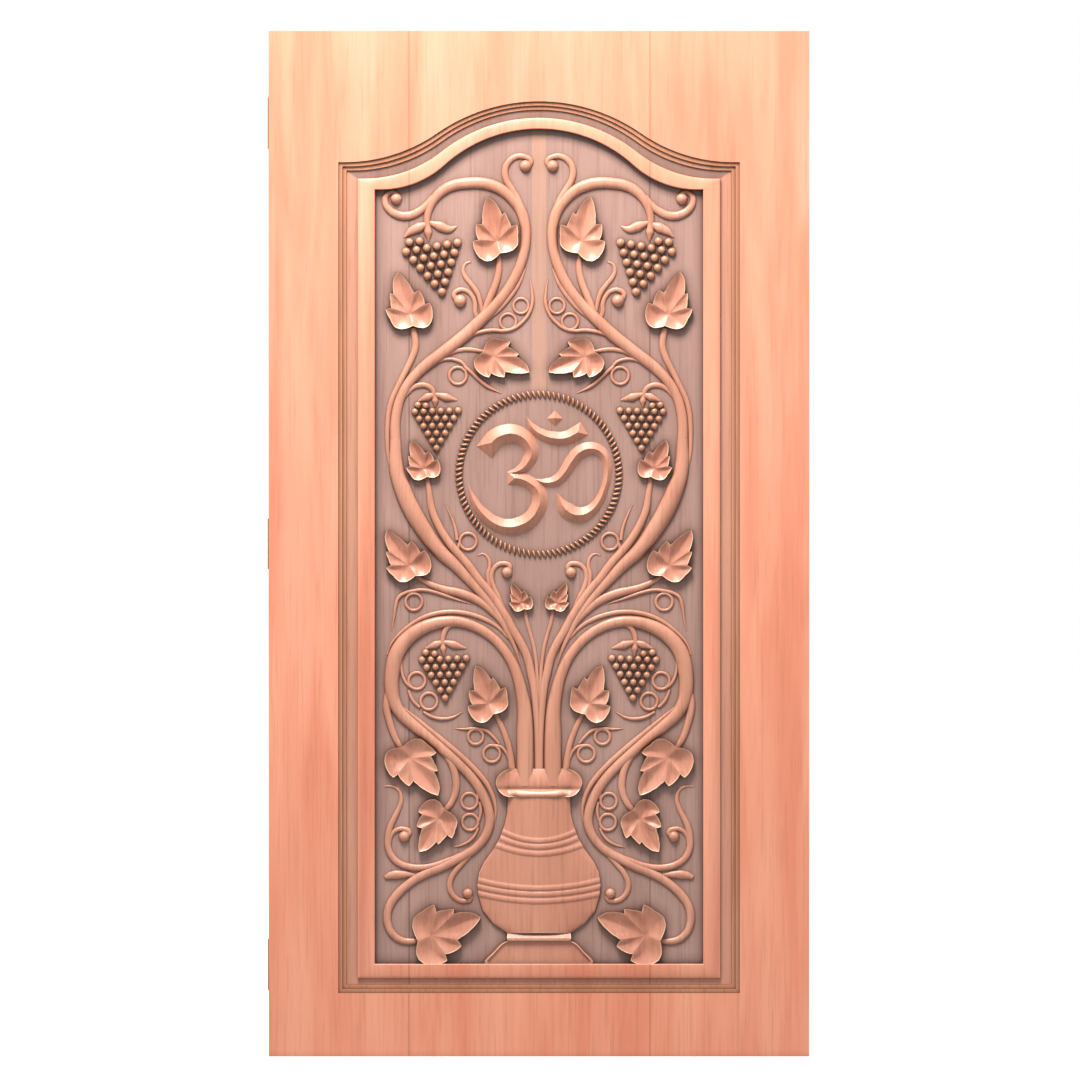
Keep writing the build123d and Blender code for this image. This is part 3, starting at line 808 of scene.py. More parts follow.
    tendrils: Sequence[Stroke] = (
        Stroke([(460, 341), (471, 335), (482, 331.3), (493, 330), (504, 330.5), (513, 328.5), (521, 323),
                (528.5, 314), (532.3, 303), (532, 291), (530, 279)], (3, 4.5, 4, 4, 4, 1)),
        ring_stroke((508, 321.5), 8, 3.2),
        ring_stroke((521, 305.6), 7.5, 3.2),
        Stroke([(437, 362), (446, 359), (455, 359.5), (462.8, 363.3), (466.5, 370)], (3, 4, 3.5)),
        ring_stroke((457.8, 375.5), 8.5, 3.4),
        Stroke([(464, 366), (470, 371), (477.5, 378), (487, 386), (501, 393)], (4, 4.5, 4, 1)),
        ring_stroke((468, 541.5), 8.3, 3.4),
        Stroke([(460.3, 541), (458, 549), (463, 559), (471.7, 570), (481, 582), (489, 594)], (3.5, 4, 4,
                3)),
        Stroke([(445, 504), (450.5, 515.5), (455, 528), (457, 540)], (1, 3, 4)),
        Stroke([(471, 604), (458, 600), (446, 595.8), (434, 592), (423, 590), (413, 591), (405, 593),
                (398.5, 597.5), (395.5, 606), (394, 617), (391.5, 631)], (1, 4, 4, 4, 1)),
        ring_stroke((413.7, 602), 8.3, 3.4),
        Stroke([(401.5, 660), (401.5, 672), (406, 683), (412.5, 688.5)], (2, 4, 3.5)),
        ring_stroke((416.7, 681), 8.3, 3.4),
        Stroke([(408, 690), (413, 701), (419.5, 707.5)], (3, 4, 3.5)),
        ring_stroke((428.8, 701.5), 8.3, 3.4),
        Stroke([(423, 712), (432, 717), (442, 719), (452, 717.7), (462.5, 712)], (3, 4, 3.5, 1)),
        Stroke([(473, 784), (477.3, 792), (478, 799)], (2, 3.5, 3)),
        ring_stroke((469.3, 801.5), 8, 3.4),
        Stroke([(479.5, 802), (480.8, 812), (479, 821)], (3, 4, 3)),
        ring_stroke((470, 822.5), 8, 3.4),
        Stroke([(478.5, 828), (473, 838), (464, 844.5), (452.5, 847.8)], (3, 4, 1)),
        Stroke([(455, 728.7), (464, 729.3), (475, 728.8), (485, 730.5), (493, 737), (499, 744)], (1, 4, 4,
                3)),
        ring_stroke((475.5, 737), 7.5, 3.4),
        ring_stroke((491.7, 754), 8.3, 3.4),
        Stroke([(494, 745.5), (500.5, 747), (505.5, 752), (509, 760)], (3, 4, 3)),
    )

    def build(self) -> list[Any]:
        """Carve the stems and the finer tendrils.

        Returns:
            The two pieces.
        """
        pieces = []
        for name, strokes, rise in (
            ("vine_stems", self.stems, self.stem_rise),
            ("vine_tendrils", self.tendrils, self.tendril_rise),
        ):
            both = list(strokes) + [stroke.mirror() for stroke in strokes]
            piece = carve_lines(name, both, self.sizes, Ridge.ROUND, rise, self.wood, self.crease_deg)
            pieces.append(settle(piece, "leaf"))
        return pieces


@dataclass
class LeafSpray:
    """Cupped vine leaves: raised thin rims, hollow lobes, and a ridge running in from every notch."""

    sizes: DoorSizes
    wood: Any
    rim: float = 11.5 * MM
    heart: float = 2.6 * MM
    hollow_share: float = 0.22
    crest_share: float = 0.1
    heart_share: float = 0.22
    bulge_share: float = 0.05
    rim_curve: float = 1.7
    crest_curve: float = 1.5
    crest_rise: float = 0.75
    full_length: float = 95 * MM
    least_rise: float = 0.55
    steps: int = 6
    crease_deg: float = 50
    reaches: Sequence[float] = (
        0.08, 0.17, 0.27, 0.37, 0.46, 0.55, 0.63, 0.7, 0.77, 0.83, 0.88, 0.92, 0.96, 1.0
    )
    # stalk, tip, which way round it lies, and breadth
    leaves: Sequence[tuple[Place, Place, int, float]] = (
        ((500, 253), (486.7, 197), -1, 1.05),
        ((413, 325.6), (397.8, 271.7), 1, 1.02),
        ((482.8, 352), (529.4, 372), 1, 1.05),
        ((427, 476.7), (412, 440), 1, 1.05),
        ((415.6, 575.6), (386.7, 530), 1, 1.0),
        ((493, 714.4), (475.6, 665.6), -1, 1.05),
        ((524, 609), (512, 582.8), 1, 1.0),
        ((401.7, 747.8), (438, 795.6), 1, 1.06),
        ((444.4, 810), (418.9, 851.7), 1, 1.12),
        ((417.8, 941), (480.6, 917.8), 1, 1.1),
    )
    # outline along and across the midrib, in leaf lengths
    outline_shares: Path = (
        (0.0, 0.0), (-0.004, -0.21), (0.067, -0.315), (0.22, -0.354), (0.415, -0.385), (0.405, -0.28),
        (0.54, -0.26), (0.668, -0.23), (0.635, -0.177), (0.898, -0.105), (1.0, 0.0), (0.796, 0.11),
        (0.636, 0.153), (0.556, 0.171), (0.584, 0.272), (0.45, 0.307), (0.31, 0.297), (0.31, 0.39),
        (0.177, 0.40), (0.007, 0.348), (-0.079, 0.256), (-0.088, 0.157),
    )
    notches: Path = ((0.0, 0.0), (0.405, -0.28), (0.635, -0.177), (0.556, 0.171), (0.31, 0.297))

    def edge(self) -> list[Vector]:
        """Refine the outline between its points, each stretch bowed outwards."""
        fine = []
        count = len(self.outline_shares)
        for number, first in enumerate(self.outline_shares):
            start = Vector(first)
            run = Vector(self.outline_shares[(number + 1) % count]) - start
            for step in range(self.steps):
                share = step / self.steps
                bow = self.bulge_share * 4 * share * (1 - share)
                fine.append(start + run * share + Vector((run.y, -run.x)) * bow)
        return fine

    def crest_at(self, spot: Vector, heart: Vector, notch: Vector) -> float:
        """Height share of the crest that runs from a notch down to the heart."""
        line = notch - heart
        along_line = max(0.0, min(1.0, (spot - heart).dot(line) / line.length_squared))
        gap = (spot - heart - line * along_line).length
        return self.crest_rise * along_line * max(0.0, 1 - gap / self.crest_share) ** self.crest_curve

    def pattern(self) -> list[list[tuple[Vector, float]]]:
        """Work out a leaf of unit length.

        Returns:
            Loops from heart to rim, each place with its share of the rise from heart to rim.
        """
        edge = self.edge()
        heart = Vector((self.heart_share, 0.0))
        loops = []
        for reach in self.reaches:
            loop = []
            for rim in edge:
                spot = heart + (rim - heart) * reach
                gap = min((spot - other).length for other in edge)
                share = max(0.0, 1 - gap / self.hollow_share) ** self.rim_curve
                for notch in self.notches:
                    crest = self.crest_at(spot, heart, Vector(notch))
                    share += crest * (1 - share)
                loop.append((spot, share))
            loops.append(loop)
        return loops

    def add_leaf(self, shape: Any, pattern: list, base: Place, tip: Place, hand: int, breadth: float) -> None:
        """Add one leaf's faces.

        Args:
            shape: the bmesh in work.
            pattern: loops of the leaf of unit length.
            base: pixel place of its stalk.
            tip: pixel place of its tip.
            hand: 1 or -1, for which way round it lies.
            breadth: its width against the usual one.
        """
        root = Vector(self.sizes.flat(base))
        rib = Vector(self.sizes.flat(tip)) - root
        side = Vector((rib.y, -rib.x)) * hand * breadth
        size = self.least_rise + (1 - self.least_rise) * min(1.0, rib.length / self.full_length)
        loops = []
        for row in pattern:
            loop = []
            for spot, share in row:
                place = root + rib * spot.x + side * spot.y
                rise = (self.heart + (self.rim - self.heart) * share) * size
                loop.append(shape.verts.new((place.x, self.sizes.ground - rise, place.y)))
            loops.append(loop)
        root_depth = self.sizes.ground + ROOT_DEPTH
        loops.append([shape.verts.new((vert.co.x, root_depth, vert.co.z)) for vert in loops[-1]])
        heart = root + rib * self.heart_share
        fan(shape, loops[0], shape.verts.new((heart.x, self.sizes.ground - self.heart * size, heart.y)))
        for inner, outer in zip(loops, loops[1:]):
            skirt(shape, inner, outer)
        shape.faces.new(loops[-1])

    def fill(self, shape: Any) -> None:
        """Add every leaf and its mirror image."""
        pattern = self.pattern()
        for base, tip, hand, breadth in self.leaves:
            self.add_leaf(shape, pattern, base, tip, hand, breadth)
            other_base, other_tip = mirrored((base, tip))
            self.add_leaf(shape, pattern, other_base, other_tip, -hand, breadth)

    def build(self) -> Any:
        """Build the leaves."""
        piece = mesh_piece("vine_leaves", self.fill, self.crease_deg, (self.wood,))
        return settle(piece, "leaf")


@dataclass(frozen=True)
class Bunch:
    """Bunch of grapes: lowest berry, steps along a row and to the next row, radius and cap berries."""

    low: Place
    row: Place
    rise: Place
    radius: float
    caps: Sequence[Place]
    rows: int = 6

    def berries(self) -> list[Place]:
        """List the berries' pixel places."""
        places = list(self.caps)
        for row in range(self.rows):
            for berry in range(row + 1):
                x_px = self.low[0] + row * self.rise[0] + berry * self.row[0]
                places.append((x_px, self.low[1] + row * self.rise[1] + berry * self.row[1]))
        return places


@dataclass
class RoundKnobs:
    """Grapes and volute eyes: round knobs set on the ground by instances."""

    sizes: DoorSizes
    grape_wood: Any
    knob_wood: Any
    grape_lift: float = 0.18
    eye_lift: float = -0.1
    crease_deg: float = 80
    segments: int = 18
    rings: int = 12
    bunches: Sequence[Bunch] = (
        Bunch((441.7, 291.5), (10.2, -1.8), (-7.1, -8.0), 4.4, ((409.4, 242), (419.4, 241))),
        Bunch((436.4, 448.0), (8.6, -0.2), (-4.3, -7.3), 3.6, ((417.8, 405), (425.6, 405.6))),
        Bunch((445.0, 698.0), (8.8, -0.3), (-4.6, -7.6), 3.75, ((425.6, 652.8), (434.4, 654))),
    )
    eyes: Sequence[tuple[Place, float]] = (
        ((525.5, 165.5), 6.1),
        ((396, 198.5), 6.0),
        ((460, 300.5), 6.5),
        ((507, 572.5), 5.6),
        ((404, 836.8), 5.7),
        ((467.8, 894), 5.3),
    )

    def wire_knobs(self, tree: Any, given: Any) -> Any:
        """Set a round knob on every point, scaled by the point's radius."""
        ball = {"Segments": self.segments, "Rings": self.rings, "Radius": 1.0}
        inputs = {
            "Points": given["Geometry"],
            "Instance": add_node(tree, "GeometryNodeMeshUVSphere", ball).outputs[0],
            "Scale": add_node(
                tree, "GeometryNodeInputNamedAttribute", {"Name": "radius_m"}, data_type="FLOAT"
            ).outputs[0],
        }
        return add_node(tree, "GeometryNodeInstanceOnPoints", inputs).outputs[0]

    def set_knobs(self, name: str, places: Sequence[tuple[Place, float]], lift: float, wood: Any) -> Any:
        """Make one piece of knobs.

        Args:
            name: the piece's name.
            places: pixel place and radius of each.
            lift: height of the middles over the ground, in radii.
            wood: its material.

        Returns:
            The settled piece.
        """
        both = list(places) + [(mirrored((place,))[0], radius) for place, radius in places]
        mesh = bpy.data.meshes.new(name + "_points")
        middles = [self.sizes.at(place, lift * radius * self.sizes.pixel) for place, radius in both]
        mesh.from_pydata(middles, [], [])
        attribute = mesh.attributes.new("radius_m", "FLOAT", "POINT")
        for item, (_, radius) in zip(attribute.data, both):
            item.value = radius * self.sizes.pixel
        piece = grow(name, mesh, self.wire_knobs, {}, wood, self.crease_deg)
        return settle(piece, "leaf")

    def build(self) -> list[Any]:
        """Build the grapes and the eyes."""
        grapes = [(place, bunch.radius) for bunch in self.bunches for place in bunch.berries()]
        return [
            self.set_knobs("grape_bunches", grapes, self.grape_lift, self.grape_wood),
            self.set_knobs("volute_eyes", self.eyes, self.eye_lift, self.knob_wood),
        ]


@dataclass
class RopeRing:
    """Ring of slanted rope strands round the sign."""

    sizes: DoorSizes
    wood: Any
    centre: Place = (539.0, 474.0)
    radius_px: float = 80.0
    width_px: float = 9.0
    strand_px: float = 3.3
    rise: float = 6.0 * MM
    twists: int = 100
    slant_deg: float = 24.0
    crease_deg: float = 80
    segments: int = 12
    rings: int = 8

    def wire_rope(self, tree: Any, given: Any) -> Any:
        """Set slanted strands round a circle."""
        ring = {"Vertices": given["Twists"], "Radius": given["Radius"]}
        ball = {"Segments": self.segments, "Rings": self.rings, "Radius": 0.5}
        number = add_node(tree, "GeometryNodeInputIndex").outputs[0]
        step = reckon(tree, "DIVIDE", 2 * math.pi, given["Twists"])
        turn = reckon(tree, "MULTIPLY_ADD", number, step, given["Slant"])
        inputs = {
            "Points": add_node(tree, "GeometryNodeMeshCircle", ring).outputs[0],
            "Instance": add_node(tree, "GeometryNodeMeshUVSphere", ball).outputs[0],
            "Rotation": add_node(tree, "ShaderNodeCombineXYZ", {2: turn}).outputs[0],
            "Scale": given["Strand"],
        }
        strands = add_node(tree, "GeometryNodeInstanceOnPoints", inputs).outputs[0]
        upright = {"Geometry": strands, "Translation": given["Centre"], "Rotation": (math.pi / 2, 0, 0)}
        return add_node(tree, "GeometryNodeTransform", upright).outputs[0]

    def build(self) -> Any:
        """Build the ring."""
        pixel = self.sizes.pixel
        values = {
            "Radius": self.radius_px * pixel,
            "Twists": self.twists,
            "Strand": (self.width_px * pixel, self.strand_px * pixel, 2 * self.rise),
            "Slant": math.radians(self.slant_deg),
            "Centre": tuple(self.sizes.at(self.centre)),
        }
        empty = bpy.data.meshes.new("rope_source")
        piece = grow("rope_ring", empty, self.wire_rope, values, self.wood, self.crease_deg)
        return settle(piece, "leaf")


@dataclass
class SacredSign:
    """Sign in the ring: strokes chiselled to a sharp ridge with hipped ends, and a pyramid dot."""

    sizes: DoorSizes
    wood: Any
    rise: float = 0.72
    dot: Sequence[Place] = ((545, 418.5), (555, 408.5), (564.5, 418.5), (555, 428))
    dot_peak: Place = (555, 418)
    dot_rise: float = 8.0 * MM
    hip_overlap: float = 0.8
    ridge_crease_deg: float = 35
    facet_crease_deg: float = 20
    # ridge's end, middle of the end line, and width
    hips: Sequence[tuple[Place, Place, float]] = (
        ((491.3, 443.2), (484.1, 452.4), 20.0),
        ((514, 478), (507.3, 478.2), 13.0),
        ((578.5, 431.8), (584.6, 428.2), 15.0),
    )
    strokes: Sequence[Stroke] = (
        Stroke([(491.3, 443.2), (494.4, 439.6), (500, 436), (505, 434.4), (511.5, 433.5), (522, 437),
                (529, 444.5), (531.5, 453), (528, 462), (519, 470.5), (508, 473)], (20, 20, 20, 19, 18, 17,
                15, 14, 12, 9, 3)),
        Stroke([(514, 478), (520, 478.7), (529, 482.5), (537, 489.5), (540, 499), (537.5, 509.5),
                (530, 519.5), (519, 525.5), (508, 527), (496, 524), (484, 515), (475, 503), (467, 483)],
                (13, 13, 15, 16, 17, 17, 17, 16, 15, 13, 10, 6, 0.6)),
        Stroke([(534, 479), (546, 482.5), (557, 480), (565, 472), (572, 461), (580, 452), (592, 448.5),
                (602, 453), (607, 463), (607.5, 476), (604, 490), (598, 503), (589, 512), (577, 515),
                (566, 509.5), (557, 493)], (1, 9, 12, 13, 14, 14, 13, 11, 9, 8, 9, 11, 15, 18, 16, 0.6)),
        Stroke([(526, 416), (533, 428), (542, 434.5), (553, 438), (565, 438), (573, 435), (578.5, 431.8)],
                (0.6, 8, 11, 13, 14, 14, 15)),
    )

    def fill_dot(self, shape: Any) -> None:
        """Add the pyramid dot."""
        corners = [self.sizes.at(place, -ROOT_DEPTH) for place in self.dot]
        pyramid(shape, corners, self.sizes.at(self.dot_peak, self.dot_rise))

    def fill_hips(self, shape: Any) -> None:
        """Add a slanted facet and two side facets at every blunt end."""
        for ridge_end, line_middle, width in self.hips:
            half = width / 2
            outer = Vector(line_middle)
            run = (outer - Vector(ridge_end)).normalized()
            inner = Vector(ridge_end) - run * self.hip_overlap
            side = Vector((-run.y, run.x)) * half
            corners = (inner + side, outer + side, outer - side, inner - side)
            peak = self.sizes.at(inner, half * self.rise * self.sizes.pixel)
            pyramid(shape, [self.sizes.at(corner) for corner in corners], peak)

    def build(self) -> list[Any]:
        """Build the strokes, their hipped ends and the dot."""
        crease = self.ridge_crease_deg
        pieces = [
            carve_lines("sign_strokes", self.strokes, self.sizes, Ridge.CHISEL, self.rise, self.wood, crease)
        ]
        for name, fill in (("sign_hips", self.fill_hips), ("sign_dot", self.fill_dot)):
            pieces.append(mesh_piece(name, fill, self.facet_crease_deg, (self.wood,)))
        return [settle(piece, "leaf") for piece in pieces]


@dataclass
class FlowerVase:
    """Vase at the foot: rolled lip, rounded belly with six raised hoops, collar and flared foot."""

    sizes: DoorSizes
    wood: Any
    belly_rise: float = 11.0 * MM
    edge_rise: float = 3.5 * MM
    hoop_rise: float = 1.8 * MM
    hoop_px: float = 5.2
    columns: int = 72
    belly_rows: int = 170
    lip_rows: int = 30
    collar_rows: int = 12
    foot_rows: int = 16
    crease_deg: float = 45
    lip_rise: float = 11.0 * MM
    # depth under the lip's height at the top row, and rows to reach it: at the ends, and between the stems
    lip_ends: Span = (3.5 * MM, 7.0)
    lip_middle: Span = (7.5 * MM, 16.0)
    lip_blend: Span = (0.6, 0.75)
    lip_bowl: Bell = (4.0 * MM, 0.78, 0.14)
    lip_groove: Bell = (2.0 * MM, 789.5, 2.2)
    lip_roll: Bell = (3.0 * MM, 795.2, 2.4)
    lip_rim: float = 0.8 * MM
    lip_rim_start: float = 0.9
    foot_rise: float = 7.0 * MM
    foot_rim: Bell = (3.5 * MM, 0.965, 0.03)
    collar_rise: Span = (6.0 * MM, 12.5 * MM)
    collar_lean: float = 0.8
    belly: Path = (
        (507.8, 790), (507.8, 798), (507.2, 813.5), (504.4, 825.7), (499.8, 838), (493, 850), (483.8, 862.5),
        (478.9, 873), (477.3, 885.4), (478.4, 896), (483, 911.4), (493, 923.7), (506.7, 933),
    )
    hoops: Sequence[tuple[float, float, float]] = (
        (502.9, 831.8, 841.0), (499.8, 838.0, 847.0), (496.8, 845.6, 854.0),
        (479.2, 880.8, 888.5), (477.7, 887.0, 894.6), (477.3, 893.8, 901.5),
    )
    lip: Path = (
        (509, 769), (503.5, 771.2), (499, 774.8), (496.5, 779), (495.8, 782.5), (496.4, 786), (498.2, 790),
        (501, 793.2), (504, 795.6), (508, 797),
    )
    foot: Path = (
        (509.8, 941), (504, 942.5), (500.6, 944.5), (493, 952.8), (487, 958.5), (484.5, 961.5), (484.8, 963.8),
    )
    collar: Path = ((507.5, 933.5), (507.0, 936.5), (507.5, 940.5))

    def half_width(self, path: Path, y_px: float) -> float:
        """Give the half-width in pixels of a half outline at a height."""
        for (x0, y0), (x1, y1) in zip(path, path[1:]):
            if y0 <= y_px <= y1:
                return CENTRE_PX - (x0 + (x1 - x0) * (y_px - y0) / (y1 - y0))
        return CENTRE_PX - path[-1][0]

    def hoop_at(self, across: float, y_px: float) -> float:
        """Height that the hoops add at a share across and a pixel row."""
        extra = 0.0
        for end_x, end_y, middle_y in self.hoops:
            reach = across * self.half_width(self.belly, y_px) / (CENTRE_PX - end_x)
            line = middle_y + (end_y - middle_y) * min(1.0, abs(reach)) ** 2
            gap = abs(y_px - line) / (self.hoop_px / 2)
            if gap < 1:
                extra = max(extra, self.hoop_rise * math.sqrt(1 - gap * gap))
        return extra

    def belly_height(self, across: float, y_px: float) -> float:
        """Height of the belly's rounded front."""
        dome = math.sqrt(max(0.0, 1 - across * across))
        return self.edge_rise + (self.belly_rise - self.edge_rise) * dome + self.hoop_at(across, y_px)

    def roll_height(self, across: float, y_px: float) -> float:
        """Height of the cup-shaped lip: soft top, bowl at both ends, raised rim and rolled lower edge."""
        below = y_px - self.lip[0][1]
        out = abs(across)
        ends, middle = (
            depth * max(0.0, 1 - below / rows) ** 2 for depth, rows in (self.lip_ends, self.lip_middle)
        )
        start, stop = self.lip_blend
        top = middle + (ends - middle) * min(1.0, max(0.0, (out - start) / (stop - start)))
        rim = self.lip_rim * max(0.0, out - self.lip_rim_start) / (1 - self.lip_rim_start)
        carved = bell(self.lip_roll, y_px) - bell(self.lip_groove, y_px) - bell(self.lip_bowl, out)
        return self.lip_rise - top + rim + carved

    def foot_height(self, across: float, y_px: float) -> float:
        """Height of the flared foot, with a raised rim at its sides."""
        return self.foot_rise + bell(self.foot_rim, abs(across))

    def collar_height(self, across: float, y_px: float) -> float:
        """Height of the collar's bead, which leans back so that it catches the light."""
        share = (y_px - self.collar[0][1]) / (self.collar[-1][1] - self.collar[0][1])
        low, high = self.collar_rise
        return low + (high - low) * math.sin(min(1.0, share / self.collar_lean) * math.pi / 2) ** 2

    def add_relief(self, shape: Any, path: Path, rows: int, height: Callable[[float, float], float]) -> None:
        """Add a raised shape between a half outline and its mirror image.

        Args:
            shape: the bmesh in work.
            path: left outline from top to foot.
            rows: number of rows of faces.
            height: height at a share across and a pixel row.
        """
        top, low = path[0][1], path[-1][1]
        grid = []
        for row in range(rows + 1):
            y_px = top + (low - top) * row / rows
            half = self.half_width(path, y_px)
            line = []
            for column in range(self.columns + 1):
                across = math.sin(math.pi * (column / self.columns - 0.5))
                place = (CENTRE_PX + across * half, y_px)
                line.append(shape.verts.new(self.sizes.at(place, height(across, y_px))))
            grid.append(line)
        for upper, lower in zip(grid, grid[1:]):
            for column in range(self.columns):
                shape.faces.new((upper[column], upper[column + 1], lower[column + 1], lower[column]))
        sides = [line[-1] for line in grid[1:]], [line[0] for line in grid[-2:0:-1]]
        edge = grid[0] + sides[0] + grid[-1][-2::-1] + sides[1]
        root_depth = self.sizes.ground + ROOT_DEPTH
        foot = [shape.verts.new((vert.co.x, root_depth, vert.co.z)) for vert in edge]
        skirt(shape, edge, foot)
        shape.faces.new(foot)

    def fill(self, shape: Any) -> None:
        """Add the four parts of the vase."""
        self.add_relief(shape, self.belly, self.belly_rows, self.belly_height)
        self.add_relief(shape, self.lip, self.lip_rows, self.roll_height)
        self.add_relief(shape, self.collar, self.collar_rows, self.collar_height)
        self.add_relief(shape, self.foot, self.foot_rows, self.foot_height)

    def build(self) -> Any:
        """Build the vase."""
        piece = mesh_piece("flower_vase", self.fill, self.crease_deg, (self.wood,))
        return settle(piece, "leaf")


@dataclass
class HingeScrews:
    """Countersunk brass screws that hold the leaf's hinge plates, two in each, with a slot in the head."""

    brass: Any
    head_radius: float = 4.2 * MM
    head_proud: float = 0.25 * MM
    head_height: float = 0.6 * MM
    slot_width: float = 1.0 * MM
    spacing: float = 70.0 * MM
    plate_gap: float = 1.0 * MM
    head_sides: int = 28
    crease_deg: float = 30
    slot_length: float = 12.6 * MM
    slot_cutter: float = 0.84 * MM
    levels: Sequence[str] = ("lower", "middle", "upper")

    def places(self) -> list[Vector]:
        """List the middles of the heads, on the face that meets the jamb's plate."""
        spots = []
        stile_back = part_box("hinge_stile")[1][1]
        for level in self.levels:
            low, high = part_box(f"{level}_hinge_leaf_plate")
            face = (low[0] + high[0] + self.plate_gap) / 2
            middle = (low[2] + high[2]) / 2
            for end in (-1, 1):
                spots.append(Vector((face, (low[1] + stile_back) / 2, middle + end * self.spacing / 2)))
        return spots

    def wire_heads(self, tree: Any, given: Any) -> Any:
        """Set a slotted head on every point, facing the jamb."""
        head = {"Vertices": self.head_sides, "Radius": given["Radius"], "Depth": given["Height"]}
        cutter = add_node(tree, "GeometryNodeMeshCube", {"Size": given["Slot"]}).outputs[0]
        lift = add_node(tree, "ShaderNodeCombineXYZ", {2: given["Height"]}).outputs[0]
        raised = {"Geometry": cutter, "Translation": lift}
        parts = {
            0: add_node(tree, "GeometryNodeMeshCylinder", head).outputs[0],
            1: add_node(tree, "GeometryNodeTransform", raised).outputs[0],
        }
        slotted = add_node(tree, "GeometryNodeMeshBoolean", parts, operation="DIFFERENCE").outputs[0]
        inputs = {"Points": given["Geometry"], "Instance": slotted, "Rotation": (0, -math.pi / 2, 0)}
        return add_node(tree, "GeometryNodeInstanceOnPoints", inputs).outputs[0]

    def build(self) -> Any:
        """Build the heads."""
        sunk = Vector((self.head_height / 2 - self.head_proud, 0, 0))
        mesh = bpy.data.meshes.new("hinge_screw_points")
        mesh.from_pydata([place + sunk for place in self.places()], [], [])
        values = {
            "Radius": self.head_radius,
            "Height": self.head_height,
            "Slot": (self.slot_width, self.slot_length, self.slot_cutter),
        }
        piece = grow("hinge_screws", mesh, self.wire_heads, values, self.brass, self.crease_deg)
        return settle(piece, "leaf")


@dataclass
class Studio:
    """Camera at the photograph's angle, soft light from above, pale floor and white surroundings."""

    sizes: DoorSizes
    distance: float = 12.0
    sensor_mm: float = 36.0
    floor_side: float = 60.0
    far_clip: float = 200.0
    soft_light: float = 0.3
    floor_grey: float = 0.35
    floor_glow: float = 0.97
    aim: Place3 = (0, 0, 1.05)
    lamp_colour: str = "fff4ea"
    # name, place, power in watts and side of each lamp
    lamps: Sequence[tuple[str, Place3, float, float]] = (
        ("key", (-0.5, -1.7, 4.2), 232.0, 1.3),
        ("back_fill", (0.8, 2.6, 4.0), 200.0, 1.6),
    )

    def camera(self) -> None:
        """Set the camera straight in front, framed as the photograph."""
        view = bpy.data.cameras.new("camera")
        view.sensor_width = self.sensor_mm
        view.lens = self.sensor_mm * self.distance / (PHOTO_SIDE_PX * self.sizes.pixel)
        view.clip_end = self.far_clip
        across, up = self.sizes.flat((PHOTO_MIDDLE_PX, PHOTO_MIDDLE_PX))
        holder = object_from("camera", view)
        holder.location = (across, self.sizes.front - self.distance, up)
        holder.rotation_euler = (math.pi / 2, 0, 0)
        bpy.context.scene.camera = holder

    def lamp(self, name: str, place: Place3, power: float, side: float) -> None:
        """Add one soft square lamp that faces the leaf's middle.

        Args:
            name: its name.
            place: where it hangs.
            power: its power in watts.
            side: the length of its side.
        """
        light = bpy.data.lights.new(name, "AREA")
        light.energy = power
        light.size = side
        light.color = linear(self.lamp_colour)[:3]
        holder = object_from(name, light)
        holder.location = place
        holder.rotation_euler = (Vector(self.aim) - Vector(place)).to_track_quat("-Z", "Y").to_euler()

    def surroundings(self) -> None:
        """Make the world white to the eye and soft grey as light."""
        world = bpy.data.worlds.new("studio")
        bpy.context.scene.world = world
        world.use_nodes = True
        tree = world.node_tree
        tree.nodes.clear()
        ray = add_node(tree, "ShaderNodeLightPath").outputs
        seen = reckon(tree, "MAXIMUM", ray["Is Camera Ray"], ray["Is Glossy Ray"])
        either = reckon(tree, "MAXIMUM", seen, ray["Is Transmission Ray"])
        soft, white = (
            add_node(tree, "ShaderNodeBackground", {"Color": WHITE, "Strength": strength}).outputs[0]
            for strength in (self.soft_light, 1.0)
        )
        mixed = add_node(tree, "ShaderNodeMixShader", {0: either, 1: soft, 2: white}).outputs[0]
        add_node(tree, "ShaderNodeOutputWorld", {0: mixed})

    def floor(self) -> None:
        """Lay a pale floor that keeps the shadow and is white to the eye."""
        material, tree = new_material("studio_floor")
        tree.nodes.clear()
        matt = add_node(tree, "ShaderNodeBsdfDiffuse", {"Color": (*[self.floor_grey] * 3, 1)}).outputs[0]
        glow = add_node(tree, "ShaderNodeEmission", {"Strength": self.floor_glow}).outputs[0]
        lit = add_node(tree, "ShaderNodeAddShader", {0: matt, 1: glow}).outputs[0]
        seen = add_node(tree, "ShaderNodeLightPath").outputs["Is Camera Ray"]
        mixed = add_node(tree, "ShaderNodeMixShader", {0: seen, 1: matt, 2: lit}).outputs[0]
        add_node(tree, "ShaderNodeOutputMaterial", {0: mixed})
        half = self.floor_side / 2
        corners = [(-half, -half, 0), (half, -half, 0), (half, half, 0), (-half, half, 0)]
        mesh = bpy.data.meshes.new("studio_floor")
        mesh.from_pydata(corners, [], [(0, 1, 2, 3)])
        mesh.materials.append(material)
        object_from("studio_floor", mesh)

    def build(self) -> None:
        """Set up the whole studio."""
        self.camera()
        for lamp in self.lamps:
            self.lamp(*lamp)
        self.surroundings()
        self.floor()
        bpy.context.scene.view_settings.view_transform = "Standard"


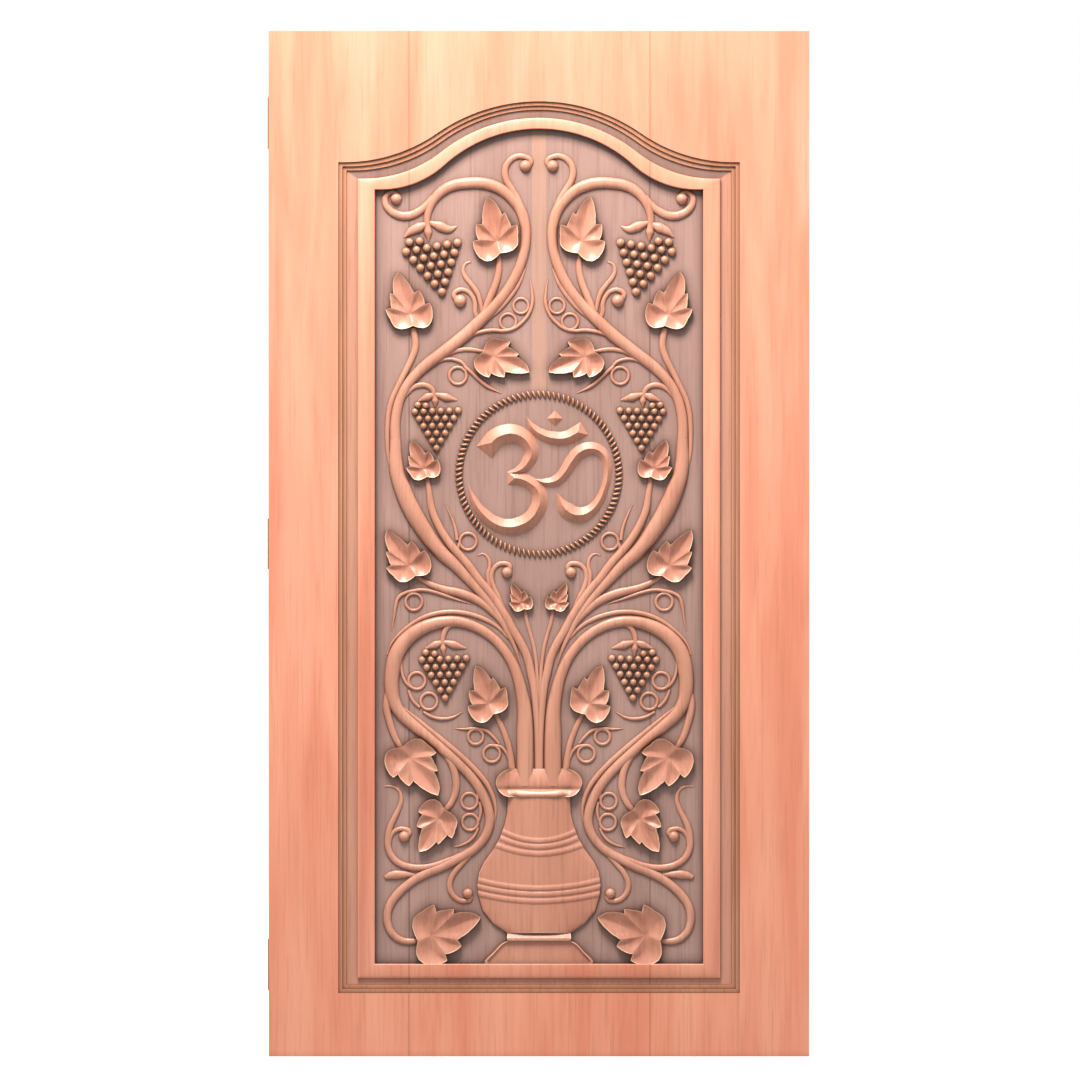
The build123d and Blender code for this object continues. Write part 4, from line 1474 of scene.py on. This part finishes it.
@dataclass
class FrameDressing:
    """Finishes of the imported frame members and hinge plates."""

    sizes: DoorSizes
    teak: Any
    moulding: Any
    brass: Any
    step_low: float = 0.5 * MM
    step_deep: float = 7.5 * MM

    def build(self) -> None:
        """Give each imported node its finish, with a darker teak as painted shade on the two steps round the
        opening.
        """
        for node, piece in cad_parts.items():
            piece.data.materials.clear()
            if node.endswith("_plate"):
                piece.data.materials.append(self.brass)
                continue
            piece.data.materials.append(self.teak)
            piece.data.materials.append(self.moulding)
            # Faces at these depths are the two steps: they take the darker moulding finish, a painted shade.
            for face in piece.data.polygons:
                depth = face.center.y - self.sizes.front
                face.material_index = 1 if self.step_low < depth < self.step_deep else 0


def main() -> None:
    """Build every sub-assembly in order."""
    logging.basicConfig(level=logging.INFO, format="%(message)s")
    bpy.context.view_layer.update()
    sizes = DoorSizes.from_frame()
    seams = {"seams_px": (409, 650), "sizes": sizes}
    strip = {"strip_and_highlight": "d8a88e", "strip_px": ((532, 128), (546, 393))}
    # Each finish darkens its recesses by occlusion, by hollow_share over hollow_mm: painted shade.
    finishes = (
        TeakFinish("oiled_teak", "feb295", "f29a7d", "b0684a", hollow_share=0.3, **seams),
        # Steps round the opening: darker teak, a painted shade where the top light leaves them in shadow.
        TeakFinish("shaded_moulding", "d2987a", "c28868", "5a3020", hollow_share=0.9, hollow_mm=7),
        # Recess round the band: darker teak, a painted shade.
        TeakFinish("shaded_margin", "d9a48c", "cf967e", "6b3f2a", hollow_share=0.5, **seams),
        # Recess under the arch: greyer and darker, a painted shadow from the arch above.
        TeakFinish("shaded_arch_hollow", "a5867c", "96776c", "4a2e25", hollow_share=0.6, hollow_mm=24),
        TeakFinish("carved_teak", "e2a78f", "d0937b", "6e3820", hollow_share=0.85, coat=0.35),
        # Leaves and vase: a painted highlight pales their convex edges, and painted shade darkens their
        # hollows.
        TeakFinish(
            "edge_highlit_teak", "e2a28a", "d08e76", "6e3820", hollow_share=0.9, hollow_mm=20, coat=0.35, edge_highlight=0.8
        ),
        # Sunk ground: darker greyish teak, with strong painted shade round the ornament; the paler strip and
        # the joints are its own.
        TeakFinish(
            "dark_ground_shaded", "bd9b92", "ad8c83", "4a2e25", hollow_share=0.94, hollow_mm=24, **strip, **seams
        ),
        # Grapes and rope: near-black painted shade in the gaps and under each bead.
        TeakFinish(
            "shaded_beads", "dda283", "c68a6a", "35180e", hollow_share=0.97, roughness=0.3, coat=0.5
        ),
    )
    teak, moulding, margin, hollow, carved, edge_highlight, dark_ground, dark = [finish.build() for finish in finishes]
    brass = BrassFinish().build()
    FrameDressing(sizes, teak, moulding, brass).build()
    HingeScrews(brass).build()
    PanelBoard(sizes, teak, margin, dark_ground, hollow).build()
    Vine(sizes, carved).build()
    LeafSpray(sizes, edge_highlight).build()
    RoundKnobs(sizes, dark, carved).build()
    RopeRing(sizes, dark).build()
    SacredSign(sizes, carved).build()
    FlowerVase(sizes, edge_highlight).build()
    Studio(sizes).build()


if __name__ == "__main__":
    main()
